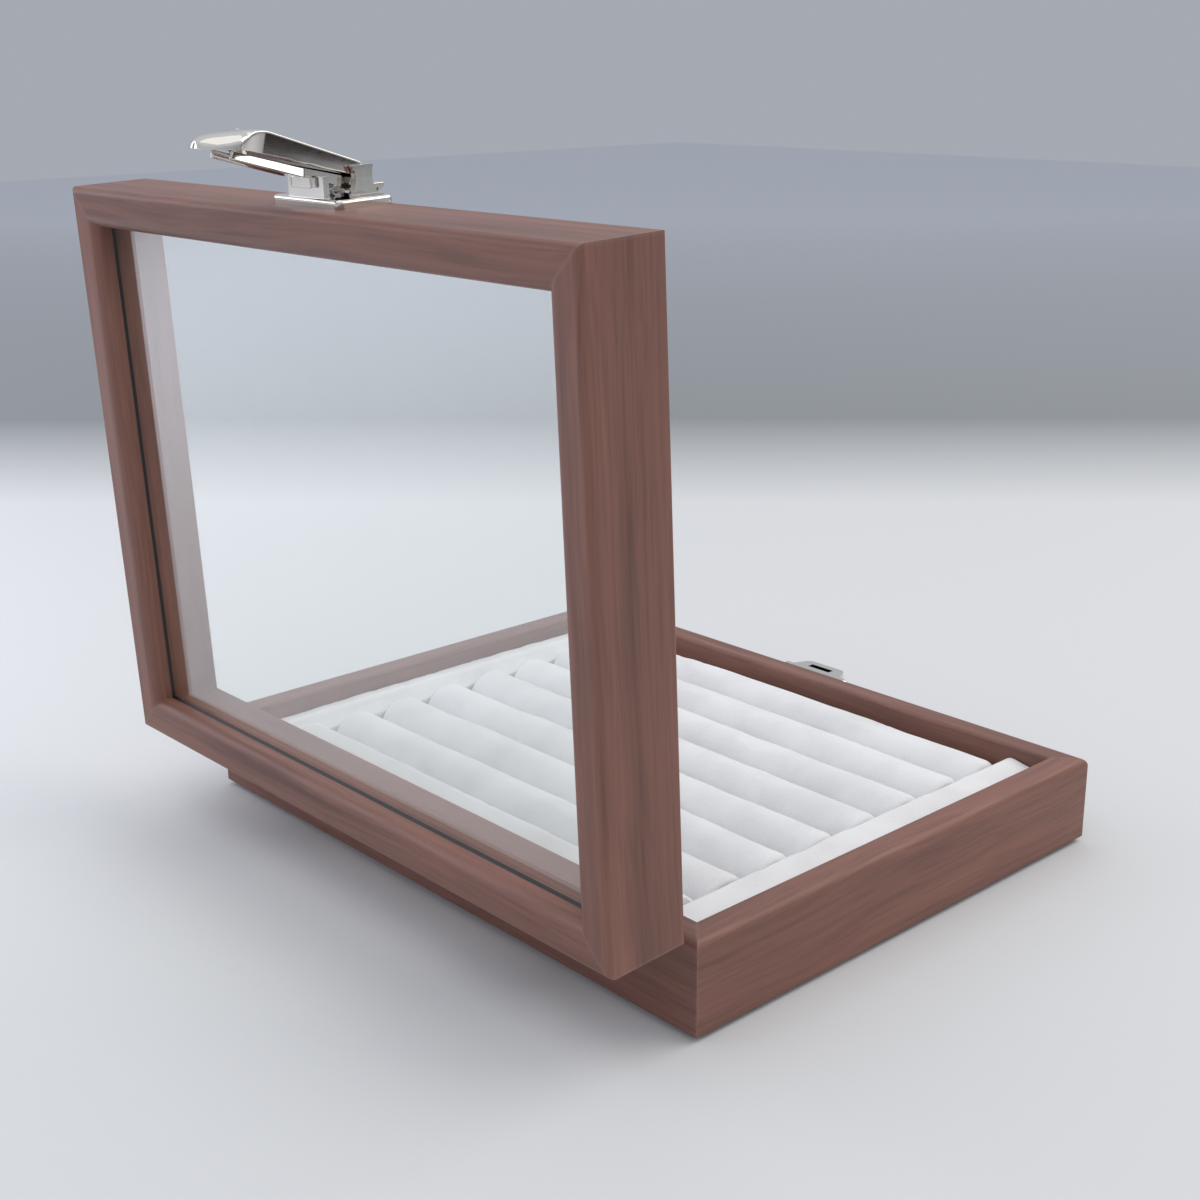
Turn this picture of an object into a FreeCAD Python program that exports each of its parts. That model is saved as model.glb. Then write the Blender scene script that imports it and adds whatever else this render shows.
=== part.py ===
"""Ring display box: a shallow wood-grain base with a velvet tray of ring rolls, and a glass lid.

The row frame: X runs along the hinge line, -Y is the clasp side, +Z is up, and the origin is the
centre of the underside. All lengths are millimetres. Every lid piece is drawn closed over the base
and then turned open about the hinge line by its Placement.
"""
import FreeCAD, Part
import os
import re
import Sketcher

V = FreeCAD.Vector

SIZES = {
    # The whole box
    "width": 200.0,
    "depth": 153.5,
    "wall": 8.0,
    "rim_gap": 0.3,
    "open_angle": 92.5,
    # Base frame and its underside
    "base_wood_height": 23.5,
    "base_arris": 2.4,
    "inner_arris": 1.0,
    "board_proud": 1.5,
    "board_inset": 2.0,
    "board_play": 0.15,
    "board_thickness": 2.5,
    "felt_thickness": 0.5,
    # Tray: board, ring rolls and padded borders
    "tray_thickness": 2.0,
    "tray_play": 0.4,
    "soft_gap": 0.3,
    "roll_diameter": 17.0,
    "roll_foot_cut": 0.4,
    "roll_end_round": 2.2,
    "border_width": 14.0,
    "back_border_least": 12.0,
    "border_height": 17.7,
    "border_slope_width": 5.5,
    "border_slope_drop": 3.4,
    "border_shoulder": 2.5,
    "border_end_round": 0.8,
    # Lid frame and pane
    "lid_height": 22.5,
    "lip_width": 10.0,
    "lip_height": 5.9,
    "lip_round": 3.2,
    "lid_arris": 1.8,
    "rim_arris": 0.8,
    "glass_thickness": 2.0,
    "glass_bite": 2.0,
    "glass_play": 0.15,
    # Stop hinges on the back faces
    "hinge_behind": 2.6,
    "hinge_drop": 0.7,
    "hinge_spacing": 110.0,
    "leaf_length": 26.0,
    "leaf_height": 9.5,
    "leaf_thickness": 1.0,
    "leaf_corner": 1.5,
    "knuckle_radius": 2.0,
    "knuckle_length": 8.0,
    "knuckle_gap": 0.15,
    "hinge_pin_radius": 0.9,
    "pin_play": 0.05,
    "stop_lug_thickness": 1.8,
    "stop_lug_reach": 6.0,
    "stop_gap_angle": 0.6,
    # Screws
    "screw_radius": 0.9,
    "screw_head_radius": 1.8,
    "screw_length": 6.5,
    "screw_play": 0.05,
    "leaf_screw_spacing": 17.0,
    "leaf_screw_drop": 6.0,
    "clasp_screw_spacing": 20.6,
    # Clasp on the lid
    "clasp_plate_width": 27.0,
    "clasp_plate_height": 15.2,
    "clasp_plate_thickness": 2.0,
    "clasp_plate_lift": 0.2,
    "clasp_corner": 1.6,
    "clasp_edge_round": 0.8,
    "bracket_width": 14.3,
    "ear_thickness": 1.7,
    "ear_height": 6.4,
    "ear_foot": 7.0,
    "ear_waist": 4.6,
    "ear_top": 5.6,
    "rear_wall_thickness": 1.5,
    "rear_wall_height": 4.8,
    "rear_notch_height": 2.3,
    "lever_pin_up": 3.6,
    "lever_pin_out": 6.3,
    "clasp_pin_radius": 0.9,
    # Lever, its finger bill and the claw arm under it
    "lever_rise": 20.0,
    "lever_travel": 8.0,
    "lever_side_gap": 0.25,
    "lever_wall": 1.1,
    "lever_top": 2.8,
    "lever_skirt": 1.5,
    "lever_heel": 2.6,
    "lever_eye_radius": 2.2,
    "arm_length": 25.0,
    "bill_reach": 39.0,
    "bill_width": 14.0,
    "bill_crest": 2.9,
    "bill_fall": 2.6,
    "bill_thickness": 4.3,
    "bill_tip_thickness": 1.4,
    "bill_drop": 4.8,
    "bill_corner": 6.0,
    "bill_edge_round": 0.6,
    "claw_width": 7.0,
    "claw_thickness": 1.1,
    "claw_out": 2.6,
    "claw_arm_depth": 3.7,
    "claw_arm_length": 31.0,
    "claw_arm_roof": 0.2,
    "barb_depth": 0.85,
    "barb_height": 1.8,
    "barb_play": 0.15,
    "claw_play": 0.1,
    "rivet_radius": 0.8,
    "rivet_recess": 0.9,
    "rivet_place": 28.5,
    "spring_thickness": 0.4,
    "spring_width": 8.0,
    "spring_place": 9.2,
    "spring_foot": 2.0,
    "spring_play": 0.1,
    # Catch on the base
    "catch_width": 26.0,
    "catch_height": 13.5,
    "catch_thickness": 1.5,
    "catch_drop": 0.8,
    "housing_width": 19.7,
    "housing_nose_width": 14.0,
    "housing_out": 7.0,
    "housing_height": 9.0,
    "housing_wall": 1.3,
    "lip_thickness": 1.2,
}


def make_sheet(doc):
    """Write every driving size into the sheet, one aliased cell each."""
    sheet = doc.addObject("Spreadsheet::Sheet", "Sizes")
    for row, (alias, number) in enumerate(SIZES.items(), start=1):
        sheet.set("A%d" % row, alias)
        sheet.set("B%d" % row, str(number))
        sheet.setAlias("B%d" % row, alias)
    doc.recompute()
    return sheet


doc = FreeCAD.newDocument("ring_display_box")
sheet = make_sheet(doc)
parts = {}


ALIAS = re.compile(r"\b(%s)\b" % "|".join(SIZES))


def sized(expression):
    """Turn a size formula written with bare aliases into one that names the sheet."""
    return ALIAS.sub(r"Sizes.\1", str(expression))


def number(expression):
    """The present value of a size formula."""
    result = sheet.evalExpression(sized(expression))
    return float(getattr(result, "Value", result))


def bind(thing, prop, expression):
    """Bind a property to a size formula."""
    thing.setExpression(prop, sized(expression))


# Derived places, as formulas of the driving sizes
RIM = "(board_proud + base_wood_height)"
LID_RIM = "(board_proud + base_wood_height + rim_gap)"
LID_TOP = "(board_proud + base_wood_height + rim_gap + lid_height)"
FRONT = "(-depth / 2)"
BACK = "(depth / 2)"
BOARD_TOP = "(felt_thickness + board_thickness)"
TRAY_TOP = "(felt_thickness + board_thickness + tray_thickness)"
SOFT_FLOOR = "(felt_thickness + board_thickness + tray_thickness + soft_gap)"
HINGE_Y = "(depth / 2 + hinge_behind)"
HINGE_Z = "(board_proud + base_wood_height - hinge_drop)"
INNER_WIDTH = "(width - 2 * wall)"
INNER_DEPTH = "(depth - 2 * wall)"
ROLL_PITCH = "(roll_diameter + soft_gap)"
ROLL_RADIUS = "(roll_diameter / 2)"
ROLL_COUNT = "floor((%s - back_border_least - 3 * soft_gap) / %s)" % (INNER_DEPTH, ROLL_PITCH)
PIN_Y = "(-depth / 2 - lever_pin_out)"
PIN_Z = "(board_proud + base_wood_height + rim_gap + lever_pin_up)"
LEVER_WIDTH = "(bracket_width - 2 * ear_thickness - 2 * lever_side_gap)"
CATCH_TOP = "(board_proud + base_wood_height - catch_drop)"
PLATE_FACE = "(-depth / 2 - clasp_plate_thickness)"


def new_body(label, in_lid=False):
    """Start a body for one piece; a lid piece is turned open about the hinge line."""
    body = doc.addObject("PartDesign::Body", label)
    body.Label = label
    place(body, in_lid)
    parts[label] = body
    return body


def place(thing, in_lid):
    """Leave a base piece where it is drawn, and swing a lid piece open on the hinge line."""
    if not in_lid:
        thing.Placement = FreeCAD.Placement()
        return
    thing.Placement = FreeCAD.Placement(V(0, 1, 1), FreeCAD.Rotation(V(-1, 0, 0), number("open_angle")))
    turn = "(open_angle * 1 deg)"
    bind(thing, "Placement.Rotation.Angle", "open_angle * 1 deg")
    bind(thing, "Placement.Base.y", "%s * (1 - cos(%s)) - %s * sin(%s)" % (HINGE_Y, turn, HINGE_Z, turn))
    bind(thing, "Placement.Base.z", "%s * (1 - cos(%s)) + %s * sin(%s)" % (HINGE_Z, turn, HINGE_Y, turn))


def origin_plane(body, role):
    """One of the body's own three origin planes."""
    return next(plane for plane in body.Origin.OriginFeatures if plane.Role == role)


def new_sketch(body, role, offset="0"):
    """A sketch on one of the body's planes, moved along the plane's normal by offset."""
    sketch = body.newObject("Sketcher::SketchObject", "outline")
    sketch.AttachmentSupport = [(origin_plane(body, role), "")]
    sketch.MapMode = "FlatFace"
    if offset != "0":
        bind(sketch, "AttachmentOffset.Base.z", offset)
    return sketch


def draw_polygon(sketch, corners):
    """A closed outline of straight lines and arcs, with every corner bound to its formulas.

    A corner is (x, y), or (x, y, (mid_x, mid_y)) when an arc through the middle point leads on to the
    next corner.
    """
    first = sketch.GeometryCount
    places = [V(number(corner[0]), number(corner[1]), 0) for corner in corners]
    count = len(corners)
    ends = []
    arcs = []
    for index, corner in enumerate(corners):
        here = places[index]
        there = places[(index + 1) % count]
        if len(corner) == 3:
            middle = V(number(corner[2][0]), number(corner[2][1]), 0)
            name = sketch.addGeometry(Part.Arc(here, middle, there), False)
            forward = (sketch.getPoint(name, 1) - here).Length < (sketch.getPoint(name, 2) - here).Length
            ends.append((1, 2) if forward else (2, 1))
            arcs.append((name, corner[2], middle))
        else:
            sketch.addGeometry(Part.LineSegment(here, there), False)
            ends.append((1, 2))
    for index in range(count):
        follower = (index + 1) % count
        sketch.addConstraint(Sketcher.Constraint(
            "Coincident", first + index, ends[index][1], first + follower, ends[follower][0]))
    for index, corner in enumerate(corners):
        pin_point(sketch, first + index, ends[index][0], corner[:2])
    for name, formulas, middle in arcs:
        point = sketch.addGeometry(Part.Point(middle), True)
        pin_point(sketch, point, 1, formulas)
        sketch.addConstraint(Sketcher.Constraint("PointOnObject", point, 1, name))


def pin_point(sketch, name, end, formulas):
    """Bind one point of a sketch to its X and Y formulas."""
    for kind, formula in zip(("DistanceX", "DistanceY"), formulas):
        row = sketch.addConstraint(Sketcher.Constraint(kind, -1, 1, name, end, number(formula)))
        label = "%s_%d_%d" % (kind[-1].lower(), name, end)
        sketch.renameConstraint(row, label)
        bind(sketch, "Constraints." + label, formula)


def draw_circle(sketch, x, y, radius):
    """A circle whose centre and radius are bound to their formulas."""
    name = sketch.addGeometry(
        Part.Circle(V(number(x), number(y), 0), V(0, 0, 1), number(radius)), False)
    pin_point(sketch, name, 3, (x, y))
    row = sketch.addConstraint(Sketcher.Constraint("Radius", name, number(radius)))
    sketch.renameConstraint(row, "radius_%d" % name)
    bind(sketch, "Constraints.radius_%d" % name, radius)


def finish_feature(body, feature, sketch, length):
    """Give a pad or pocket its sketch and its length, even on both sides of the sketch."""
    feature.Profile = sketch
    feature.SideType = "Symmetric"
    bind(feature, "Length", length)
    doc.recompute()
    body.Tip = feature
    return feature


def pad(body, role, outline, length, offset="0", circles=()):
    """Add material: an outline carried along the plane's normal, centred on offset."""
    sketch = new_sketch(body, role, offset)
    if outline:
        draw_polygon(sketch, outline)
    for circle in circles:
        draw_circle(sketch, *circle)
    return finish_feature(body, body.newObject("PartDesign::Pad", "pad"), sketch, length)


def pocket(body, role, outline, length, offset="0", circles=()):
    """Cut material away, and make sure that something was cut."""
    before = body.Shape.Volume
    sketch = new_sketch(body, role, offset)
    if outline:
        draw_polygon(sketch, outline)
    for circle in circles:
        draw_circle(sketch, *circle)
    feature = finish_feature(body, body.newObject("PartDesign::Pocket", "pocket"), sketch, length)
    if not body.Shape.Volume < before:
        raise ValueError("a pocket of %s cuts nothing" % body.Label)
    return feature


def rectangle(x_low, x_high, y_low, y_high):
    """The four corners of a rectangle."""
    return [(x_low, y_low), (x_high, y_low), (x_high, y_high), (x_low, y_high)]


def fillet(body, wanted, radius):
    """Round the edges of the body's last feature that wanted(edge) picks."""
    base = body.Tip
    names = ["Edge%d" % (index + 1) for index, edge in enumerate(base.Shape.Edges) if wanted(edge)]
    if not names:
        raise ValueError("no edge to round on %s" % body.Label)
    feature = body.newObject("PartDesign::Fillet", "round")
    feature.Base = (base, names)
    bind(feature, "Radius", radius)
    doc.recompute()
    body.Tip = feature
    return feature


def at(edge, **where):
    """True when every end of the edge has the given coordinates."""
    near = 1e-4
    return all(abs(getattr(vertex.Point, axis) - value) < near
               for vertex in edge.Vertexes for axis, value in where.items())


def box(label, x, y, z):
    """A plain block between two formulas on each axis."""
    block = doc.addObject("Part::Box", label)
    block.Label = label
    for axis, prop, (low, high) in (("x", "Length", x), ("y", "Width", y), ("z", "Height", z)):
        bind(block, prop, "(%s) - (%s)" % (high, low))
        bind(block, "Placement.Base." + axis, low)
    parts[label] = block
    return block


# Frame rails: one profile per frame, carried along each side and mitred at both ends

SIDES = {
    "front": ("YZ_Plane", -1, "depth", "width"),
    "back": ("YZ_Plane", 1, "depth", "width"),
    "left": ("XZ_Plane", -1, "width", "depth"),
    "right": ("XZ_Plane", 1, "width", "depth"),
}


def inward(side, thickness):
    """The cross coordinate that lies this far in from the side's outer face."""
    role, sign, across, along = SIDES[side]
    return "%d * (%s / 2 - (%s))" % (sign, across, thickness)


def base_profile(side):
    """Base rail section: a wall with a rebate for the bottom board under it."""
    outer, step, inner = inward(side, "0"), inward(side, "board_inset"), inward(side, "wall")
    return [(outer, "board_proud"), (step, "board_proud"), (step, BOARD_TOP), (inner, BOARD_TOP),
            (inner, RIM), (outer, RIM)]


def lid_profile(side):
    """Lid rail section: a wall with a lip over the pane and a groove that holds the pane."""
    outer, groove = inward(side, "0"), inward(side, "wall - glass_bite")
    inner, lip = inward(side, "wall"), inward(side, "lip_width")
    lip_floor = "(%s - lip_height)" % LID_TOP
    groove_floor = "(%s - lip_height - glass_thickness - glass_play)" % LID_TOP
    return [(outer, LID_RIM), (inner, LID_RIM), (inner, groove_floor), (groove, groove_floor),
            (groove, lip_floor), (lip, lip_floor), (lip, LID_TOP), (outer, LID_TOP)]


def mitre_corner(side, end):
    """The triangle to cut off one end of a rail, as X and Y formulas."""
    role, sign, across, along = SIDES[side]
    reach = "(lip_width + wall)"
    over = "wall / 2"
    across_out = "%d * (%s / 2 + %s)" % (sign, across, over)
    across_in = "%d * (%s / 2 - %s)" % (sign, across, reach)
    along_out = "%d * (%s / 2 + %s)" % (end, along, over)
    along_in = "%d * (%s / 2 - %s)" % (end, along, reach)
    corners = [(along_out, across_out), (along_out, across_in), (along_in, across_in)]
    if role == "XZ_Plane":
        corners = [(y, x) for x, y in corners]
    return corners


def rail(label, side, profile, middle, height, rounds, in_lid):
    """One mitred rail of a frame, with its long edges rounded before the mitres are cut."""
    role, sign, across, along = SIDES[side]
    body = new_body(label, in_lid)
    pad(body, role, profile(side), along)
    axis = "y" if role == "YZ_Plane" else "x"
    for across_place, level, radius in rounds:
        here = {axis: number(inward(side, across_place)), "z": number(level)}
        fillet(body, lambda edge: at(edge, **here), radius)
    for end in (-1, 1):
        pocket(body, "XY_Plane", mitre_corner(side, end), "2 * (%s)" % height, middle)
    return body


def drill(body, places, out, length, radius="screw_radius + screw_play"):
    """Round holes along Y, each given by its X and Z formulas, centred on the plane at out."""
    circles = [(x, z, radius) for x, z in places]
    pocket(body, "XZ_Plane", None, length, "-(%s)" % out, circles)


def make_base_frame():
    """The four rails of the base, the board under them and the felt under the board."""
    for side in SIDES:
        rail("base_%s_rail" % side, side, base_profile, "base_wood_height / 2 + board_proud",
             "base_wood_height", [("0", RIM, "base_arris"), ("wall", RIM, "inner_arris")], False)
    reach_x = "(width / 2 - board_inset - board_play)"
    reach_y = "(depth / 2 - board_inset - board_play)"
    box("bottom_board", ("-" + reach_x, reach_x), ("-" + reach_y, reach_y), ("felt_thickness", BOARD_TOP))
    box("bottom_felt", ("-" + reach_x, reach_x), ("-" + reach_y, reach_y), ("0", "felt_thickness"))


def make_tray():
    """The tray board, its ring rolls and the padded border on three sides."""
    reach_x = "(%s / 2 - tray_play)" % INNER_WIDTH
    reach_y = "(%s / 2 - tray_play)" % INNER_DEPTH
    box("tray_board", ("-" + reach_x, reach_x), ("-" + reach_y, reach_y), (BOARD_TOP, TRAY_TOP))
    roll_half = "(%s / 2 - border_width - 2 * soft_gap)" % INNER_WIDTH
    for index in range(int(number(ROLL_COUNT))):
        centre = "(%s + wall + soft_gap + %s + %d * %s)" % (FRONT, ROLL_RADIUS, index, ROLL_PITCH)
        make_roll("ring_roll_%d" % (index + 1), centre, roll_half)
    for sign, side in ((-1, "left"), (1, "right")):
        make_side_border("tray_%s_border" % side, sign)
    make_back_border()


def make_roll(label, centre, half_length):
    """A velvet roll: a round bar with a narrow flat foot and rounded ends."""
    body = new_body(label)
    lift = "(%s - roll_foot_cut)" % ROLL_RADIUS
    foot = "sqrt(pow(%s; 2) - pow(%s; 2))" % (ROLL_RADIUS, lift)
    middle = "(%s + %s)" % (SOFT_FLOOR, lift)
    left, right = "%s - %s" % (centre, foot), "%s + %s" % (centre, foot)
    side_left, side_right = "%s - %s" % (centre, ROLL_RADIUS), "%s + %s" % (centre, ROLL_RADIUS)
    top = "%s + %s" % (middle, ROLL_RADIUS)
    slant = "cos(45 * 1 deg) * " + ROLL_RADIUS
    high, low = "%s + %s" % (middle, slant), "%s - %s" % (middle, slant)
    slant_left, slant_right = "%s - %s" % (centre, slant), "%s + %s" % (centre, slant)
    outline = [
        (left, SOFT_FLOOR),
        (right, SOFT_FLOOR, (slant_right, low)),
        (side_right, middle, (slant_right, high)),
        (centre, top, (slant_left, high)),
        (side_left, middle, (slant_left, low)),
    ]
    pad(body, "YZ_Plane", outline, "2 * " + half_length)
    end = number(half_length)
    floor = number(SOFT_FLOOR)
    fillet(body, lambda edge: (at(edge, x=end) or at(edge, x=-end)) and not at(edge, z=floor),
           "roll_end_round")


def border_profile(wall_face, sign):
    """Padded border section: flat top by the wall, shoulder, and a slope down to the rolls."""
    top = "(%s + border_height)" % SOFT_FLOOR
    foot = "(%s - border_slope_drop)" % top
    outer = "(%s) - %d * soft_gap" % (wall_face, sign)
    shoulder = "(%s) - %d * (soft_gap + border_width - border_slope_width)" % (wall_face, sign)
    inner = "(%s) - %d * (soft_gap + border_width)" % (wall_face, sign)
    return [(outer, SOFT_FLOOR), (outer, top), (shoulder, top), (inner, foot), (inner, SOFT_FLOOR)]


def make_side_border(label, sign):
    """A border along one side wall, from the front wall to the back wall."""
    body = new_body(label)
    wall_face = "%d * %s / 2" % (sign, INNER_WIDTH)
    profile = border_profile(wall_face, sign)
    pad(body, "XZ_Plane", profile, "%s - 2 * soft_gap" % INNER_DEPTH)
    round_border(body, "x", profile)


def make_back_border():
    """The border along the back wall, between the two side borders."""
    body = new_body("tray_back_border")
    room = "(%s - %s * %s - 3 * soft_gap)" % (INNER_DEPTH, ROLL_COUNT, ROLL_PITCH)
    top = "(%s + border_height)" % SOFT_FLOOR
    foot = "(%s - border_slope_drop)" % top
    outer = "(%s / 2 - soft_gap)" % INNER_DEPTH
    inner = "(%s - %s)" % (outer, room)
    shoulder = "(%s + border_slope_width)" % inner
    profile = [(outer, SOFT_FLOOR), (outer, top), (shoulder, top), (inner, foot), (inner, SOFT_FLOOR)]
    pad(body, "YZ_Plane", profile, "%s - 2 * border_width - 4 * soft_gap" % INNER_WIDTH)
    round_border(body, "y", profile)


def round_border(body, axis, profile):
    """Round a border's long upper edges, at its outer corner, its shoulder and its foot."""
    for corner, radius in ((1, "border_end_round"), (2, "border_shoulder"), (3, "border_end_round")):
        here = {axis: number(profile[corner][0]), "z": number(profile[corner][1])}
        fillet(body, lambda edge: at(edge, **here), radius)


def make_lid_frame():
    """The four rails of the lid and the pane that slides into their grooves."""
    rounds = [("0", LID_TOP, "lid_arris"), ("lip_width", LID_TOP, "lip_round"),
              ("0", LID_RIM, "rim_arris"), ("wall", LID_RIM, "rim_arris")]
    for side in SIDES:
        rail("lid_%s_rail" % side, side, lid_profile, "%s - lid_height / 2" % LID_TOP,
             "lid_height", rounds, True)
    pane = new_body("glass_pane", True)
    half_x = "(width / 2 - wall + glass_bite - glass_play)"
    half_y = "(depth / 2 - wall + glass_bite - glass_play)"
    middle = "%s - lip_height - glass_thickness / 2" % LID_TOP
    pad(pane, "XY_Plane", rectangle("-" + half_x, half_x, "-" + half_y, half_y), "glass_thickness", middle)


# Stop hinges: the leaves lie on the back faces, and their lugs meet when the lid stands open

HINGE_SIGNS = (("left", -1), ("right", 1))


def hinge_centre(sign):
    """X formula of a hinge's middle."""
    return "%d * hinge_spacing / 2" % sign


def leaf_screws(sign, up):
    """X and Z formulas of a leaf's two screws; up is 1 on the lid and -1 on the base."""
    level = "%s + %d * leaf_screw_drop" % (HINGE_Z, up)
    return [("%s + %d * leaf_screw_spacing / 2" % (hinge_centre(sign), end), level) for end in (-1, 1)]


def make_leaf(label, sign, up, in_lid):
    """One hinge leaf: a plate on the wood, its knuckles round the pin and its two stop lugs."""
    body = new_body(label, in_lid)
    centre = hinge_centre(sign)
    plate_in, plate_out = BACK, "%s + leaf_thickness" % BACK
    clear = "(knuckle_radius + knuckle_gap * 2)"
    near_edge = "%s + %d * %s" % (HINGE_Z, up, clear)
    far_edge = "%s + %d * leaf_height" % (HINGE_Z, up)
    pad(body, "YZ_Plane", rectangle(plate_in, plate_out, near_edge, far_edge), "leaf_length", centre)
    for edge_end in (-1, 1):
        corner = {"x": number("%s + %d * leaf_length / 2" % (centre, edge_end)), "z": number(far_edge)}
        fillet(body, lambda edge: at(edge, **corner), "leaf_corner")
    if up > 0:
        spans = [(centre, "knuckle_length - 2 * knuckle_gap")]
    else:
        outer_length = "(leaf_length - knuckle_length) / 2"
        spans = [("%s + %d * (knuckle_length + %s) / 2" % (centre, end, outer_length), outer_length)
                 for end in (-1, 1)]
    for middle, length in spans:
        pad(body, "YZ_Plane", rectangle(plate_in, plate_out, HINGE_Z, near_edge), length, middle)
        pad(body, "YZ_Plane", None, length, middle, [(HINGE_Y, HINGE_Z, "knuckle_radius")])
    for end in (-1, 1):
        lug_middle = "%s + %d * (leaf_length - stop_lug_thickness) / 2" % (centre, end)
        pad(body, "YZ_Plane", lug_outline(up), "stop_lug_thickness", lug_middle)
    bore = "hinge_pin_radius + pin_play" if up > 0 else "hinge_pin_radius"
    pocket(body, "YZ_Plane", None, "2 * leaf_length", centre, [(HINGE_Y, HINGE_Z, bore)])
    screw_holes(body, leaf_screws(sign, up), plate_out, "leaf_thickness", 1)
    return body


def lug_outline(up):
    """A stop lug: a gusset whose slanted edge meets the other leaf's lug when the lid stands open."""
    plate_out = "(%s + leaf_thickness)" % BACK
    plate_in = "(%s + leaf_thickness / 2)" % BACK
    root = "%s + %d * (leaf_height - leaf_corner * 2)" % (HINGE_Z, up)
    if up > 0:
        slant = "((open_angle / 2 + stop_gap_angle) * 1 deg)"
        near = "(knuckle_radius + 2 * knuckle_gap)"
        toe = ("%s + %s * cos(%s)" % (HINGE_Y, near, slant), "%s + %s * sin(%s)" % (HINGE_Z, near, slant))
        inner = [(plate_in, "%s + %s" % (HINGE_Z, near)), (HINGE_Y, "%s + %s" % (HINGE_Z, near)), toe]
    else:
        slant = "(-open_angle / 2 * 1 deg)"
        near_level = "%s - knuckle_radius / 2" % HINGE_Z
        inner = [(plate_in, near_level), (HINGE_Y, near_level),
                 ("%s + knuckle_radius / 2 / tan(-%s)" % (HINGE_Y, slant), near_level)]
    tip = ("%s + stop_lug_reach * cos(%s)" % (HINGE_Y, slant),
           "%s + stop_lug_reach * sin(%s)" % (HINGE_Z, slant))
    return inner + [tip, (plate_out, root), (plate_in, root)]


def screw_holes(body, places, face, depth, facing):
    """Clearance holes with seats for flush heads; facing is the sign of the face's normal along Y."""
    middle = "(%s) - %d * (%s) / 2" % (face, facing, depth)
    drill(body, places, middle, "2 * (%s)" % depth)
    seat = "screw_head_radius - screw_radius"
    for x, z in places:
        sketch = new_sketch(body, "XZ_Plane", "-(%s)" % face)
        draw_circle(sketch, x, z, "screw_head_radius + screw_play")
        feature = body.newObject("PartDesign::Pocket", "seat")
        feature.Profile = sketch
        feature.TaperAngle = -45
        bind(feature, "Length", seat)
        before = body.Shape.Volume
        feature.Reversed = facing < 0
        doc.recompute()
        if not body.Tip.Shape.Volume > feature.Shape.Volume:
            feature.Reversed = not feature.Reversed
            doc.recompute()
        body.Tip = feature
        if not body.Shape.Volume < before:
            raise ValueError("a screw seat of %s cuts nothing" % body.Label)


def make_screws(label, places, face, facing, in_lid=False):
    """Countersunk screws as one group: each a cone head and a shank into the wood."""
    solids = []
    for index, (x, z) in enumerate(places):
        head = doc.addObject("Part::Cone", "%s_head_%d" % (label, index))
        bind(head, "Radius1", "screw_head_radius")
        bind(head, "Radius2", "screw_radius")
        bind(head, "Height", "screw_head_radius - screw_radius")
        shank = doc.addObject("Part::Cylinder", "%s_shank_%d" % (label, index))
        bind(shank, "Radius", "screw_radius")
        bind(shank, "Height", "screw_length")
        for piece in (head, shank):
            piece.Placement = FreeCAD.Placement(V(1, 1, 1), FreeCAD.Rotation(V(1, 0, 0), 90 * facing))
            bind(piece, "Placement.Base.x", x)
            bind(piece, "Placement.Base.y", face)
            bind(piece, "Placement.Base.z", z)
        screw = doc.addObject("Part::Fuse", "%s_%d" % (label, index))
        screw.Base, screw.Tool = head, shank
        solids.append(screw)
    group = doc.addObject("Part::Compound", label)
    group.Label = label
    group.Links = solids
    place(group, in_lid)
    parts[label] = group


def make_hinges():
    """Two hinges with their pins, their screws, and the pilot holes in both back rails."""
    for name, sign in HINGE_SIGNS:
        make_leaf("hinge_%s_lower_leaf" % name, sign, -1, False)
        make_leaf("hinge_%s_upper_leaf" % name, sign, 1, True)
        pin = new_body("hinge_%s_pin" % name)
        pad(pin, "YZ_Plane", None, "leaf_length", hinge_centre(sign),
            [(HINGE_Y, HINGE_Z, "hinge_pin_radius")])
    for up, rail_name, label, in_lid in ((-1, "base_back_rail", "hinge_lower_screws", False),
                                         (1, "lid_back_rail", "hinge_upper_screws", True)):
        places = [spot for name, sign in HINGE_SIGNS for spot in leaf_screws(sign, up)]
        drill(parts[rail_name], places, BACK, "2 * screw_length")
        make_screws(label, places, "%s + leaf_thickness" % BACK, 1, in_lid)


# Clasp: bracket plate, lever with its bill, claw arm, pin, rivet and leaf spring


def lever_point(along, off):
    """Y and Z formulas of a point on the lever: along it from the pin, and off it outwards."""
    sine, cosine = "sin(lever_rise * 1 deg)", "cos(lever_rise * 1 deg)"
    y = "%s - ((%s) * %s + (%s) * %s)" % (PIN_Y, along, sine, off, cosine)
    z = "%s + (%s) * %s - (%s) * %s" % (PIN_Z, along, cosine, off, sine)
    return y, z


def clasp_screw_places(level):
    """X and Z formulas of the two screws of a clasp piece."""
    return [("%d * clasp_screw_spacing / 2" % end, level) for end in (-1, 1)]


def ear_outline():
    """An ear of the bracket: broad foot, narrow waist and a flared head, round the pin."""
    foot, top = PLATE_FACE, "%s - ear_height" % PLATE_FACE
    sunk = "%s + clasp_plate_thickness / 2" % PLATE_FACE
    waist = "%s - ear_height / 2" % PLATE_FACE
    low, high = "%s - ear_foot / 2" % PIN_Z, "%s + ear_foot / 2" % PIN_Z
    top_low, top_high = "%s - ear_top / 2" % PIN_Z, "%s + ear_top / 2" % PIN_Z
    waist_low, waist_high = "%s - ear_waist / 2" % PIN_Z, "%s + ear_waist / 2" % PIN_Z
    return [(sunk, low), (foot, low, (waist, waist_low)), (top, top_low),
            (top, top_high, (waist, waist_high)), (foot, high), (sunk, high)]


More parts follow.
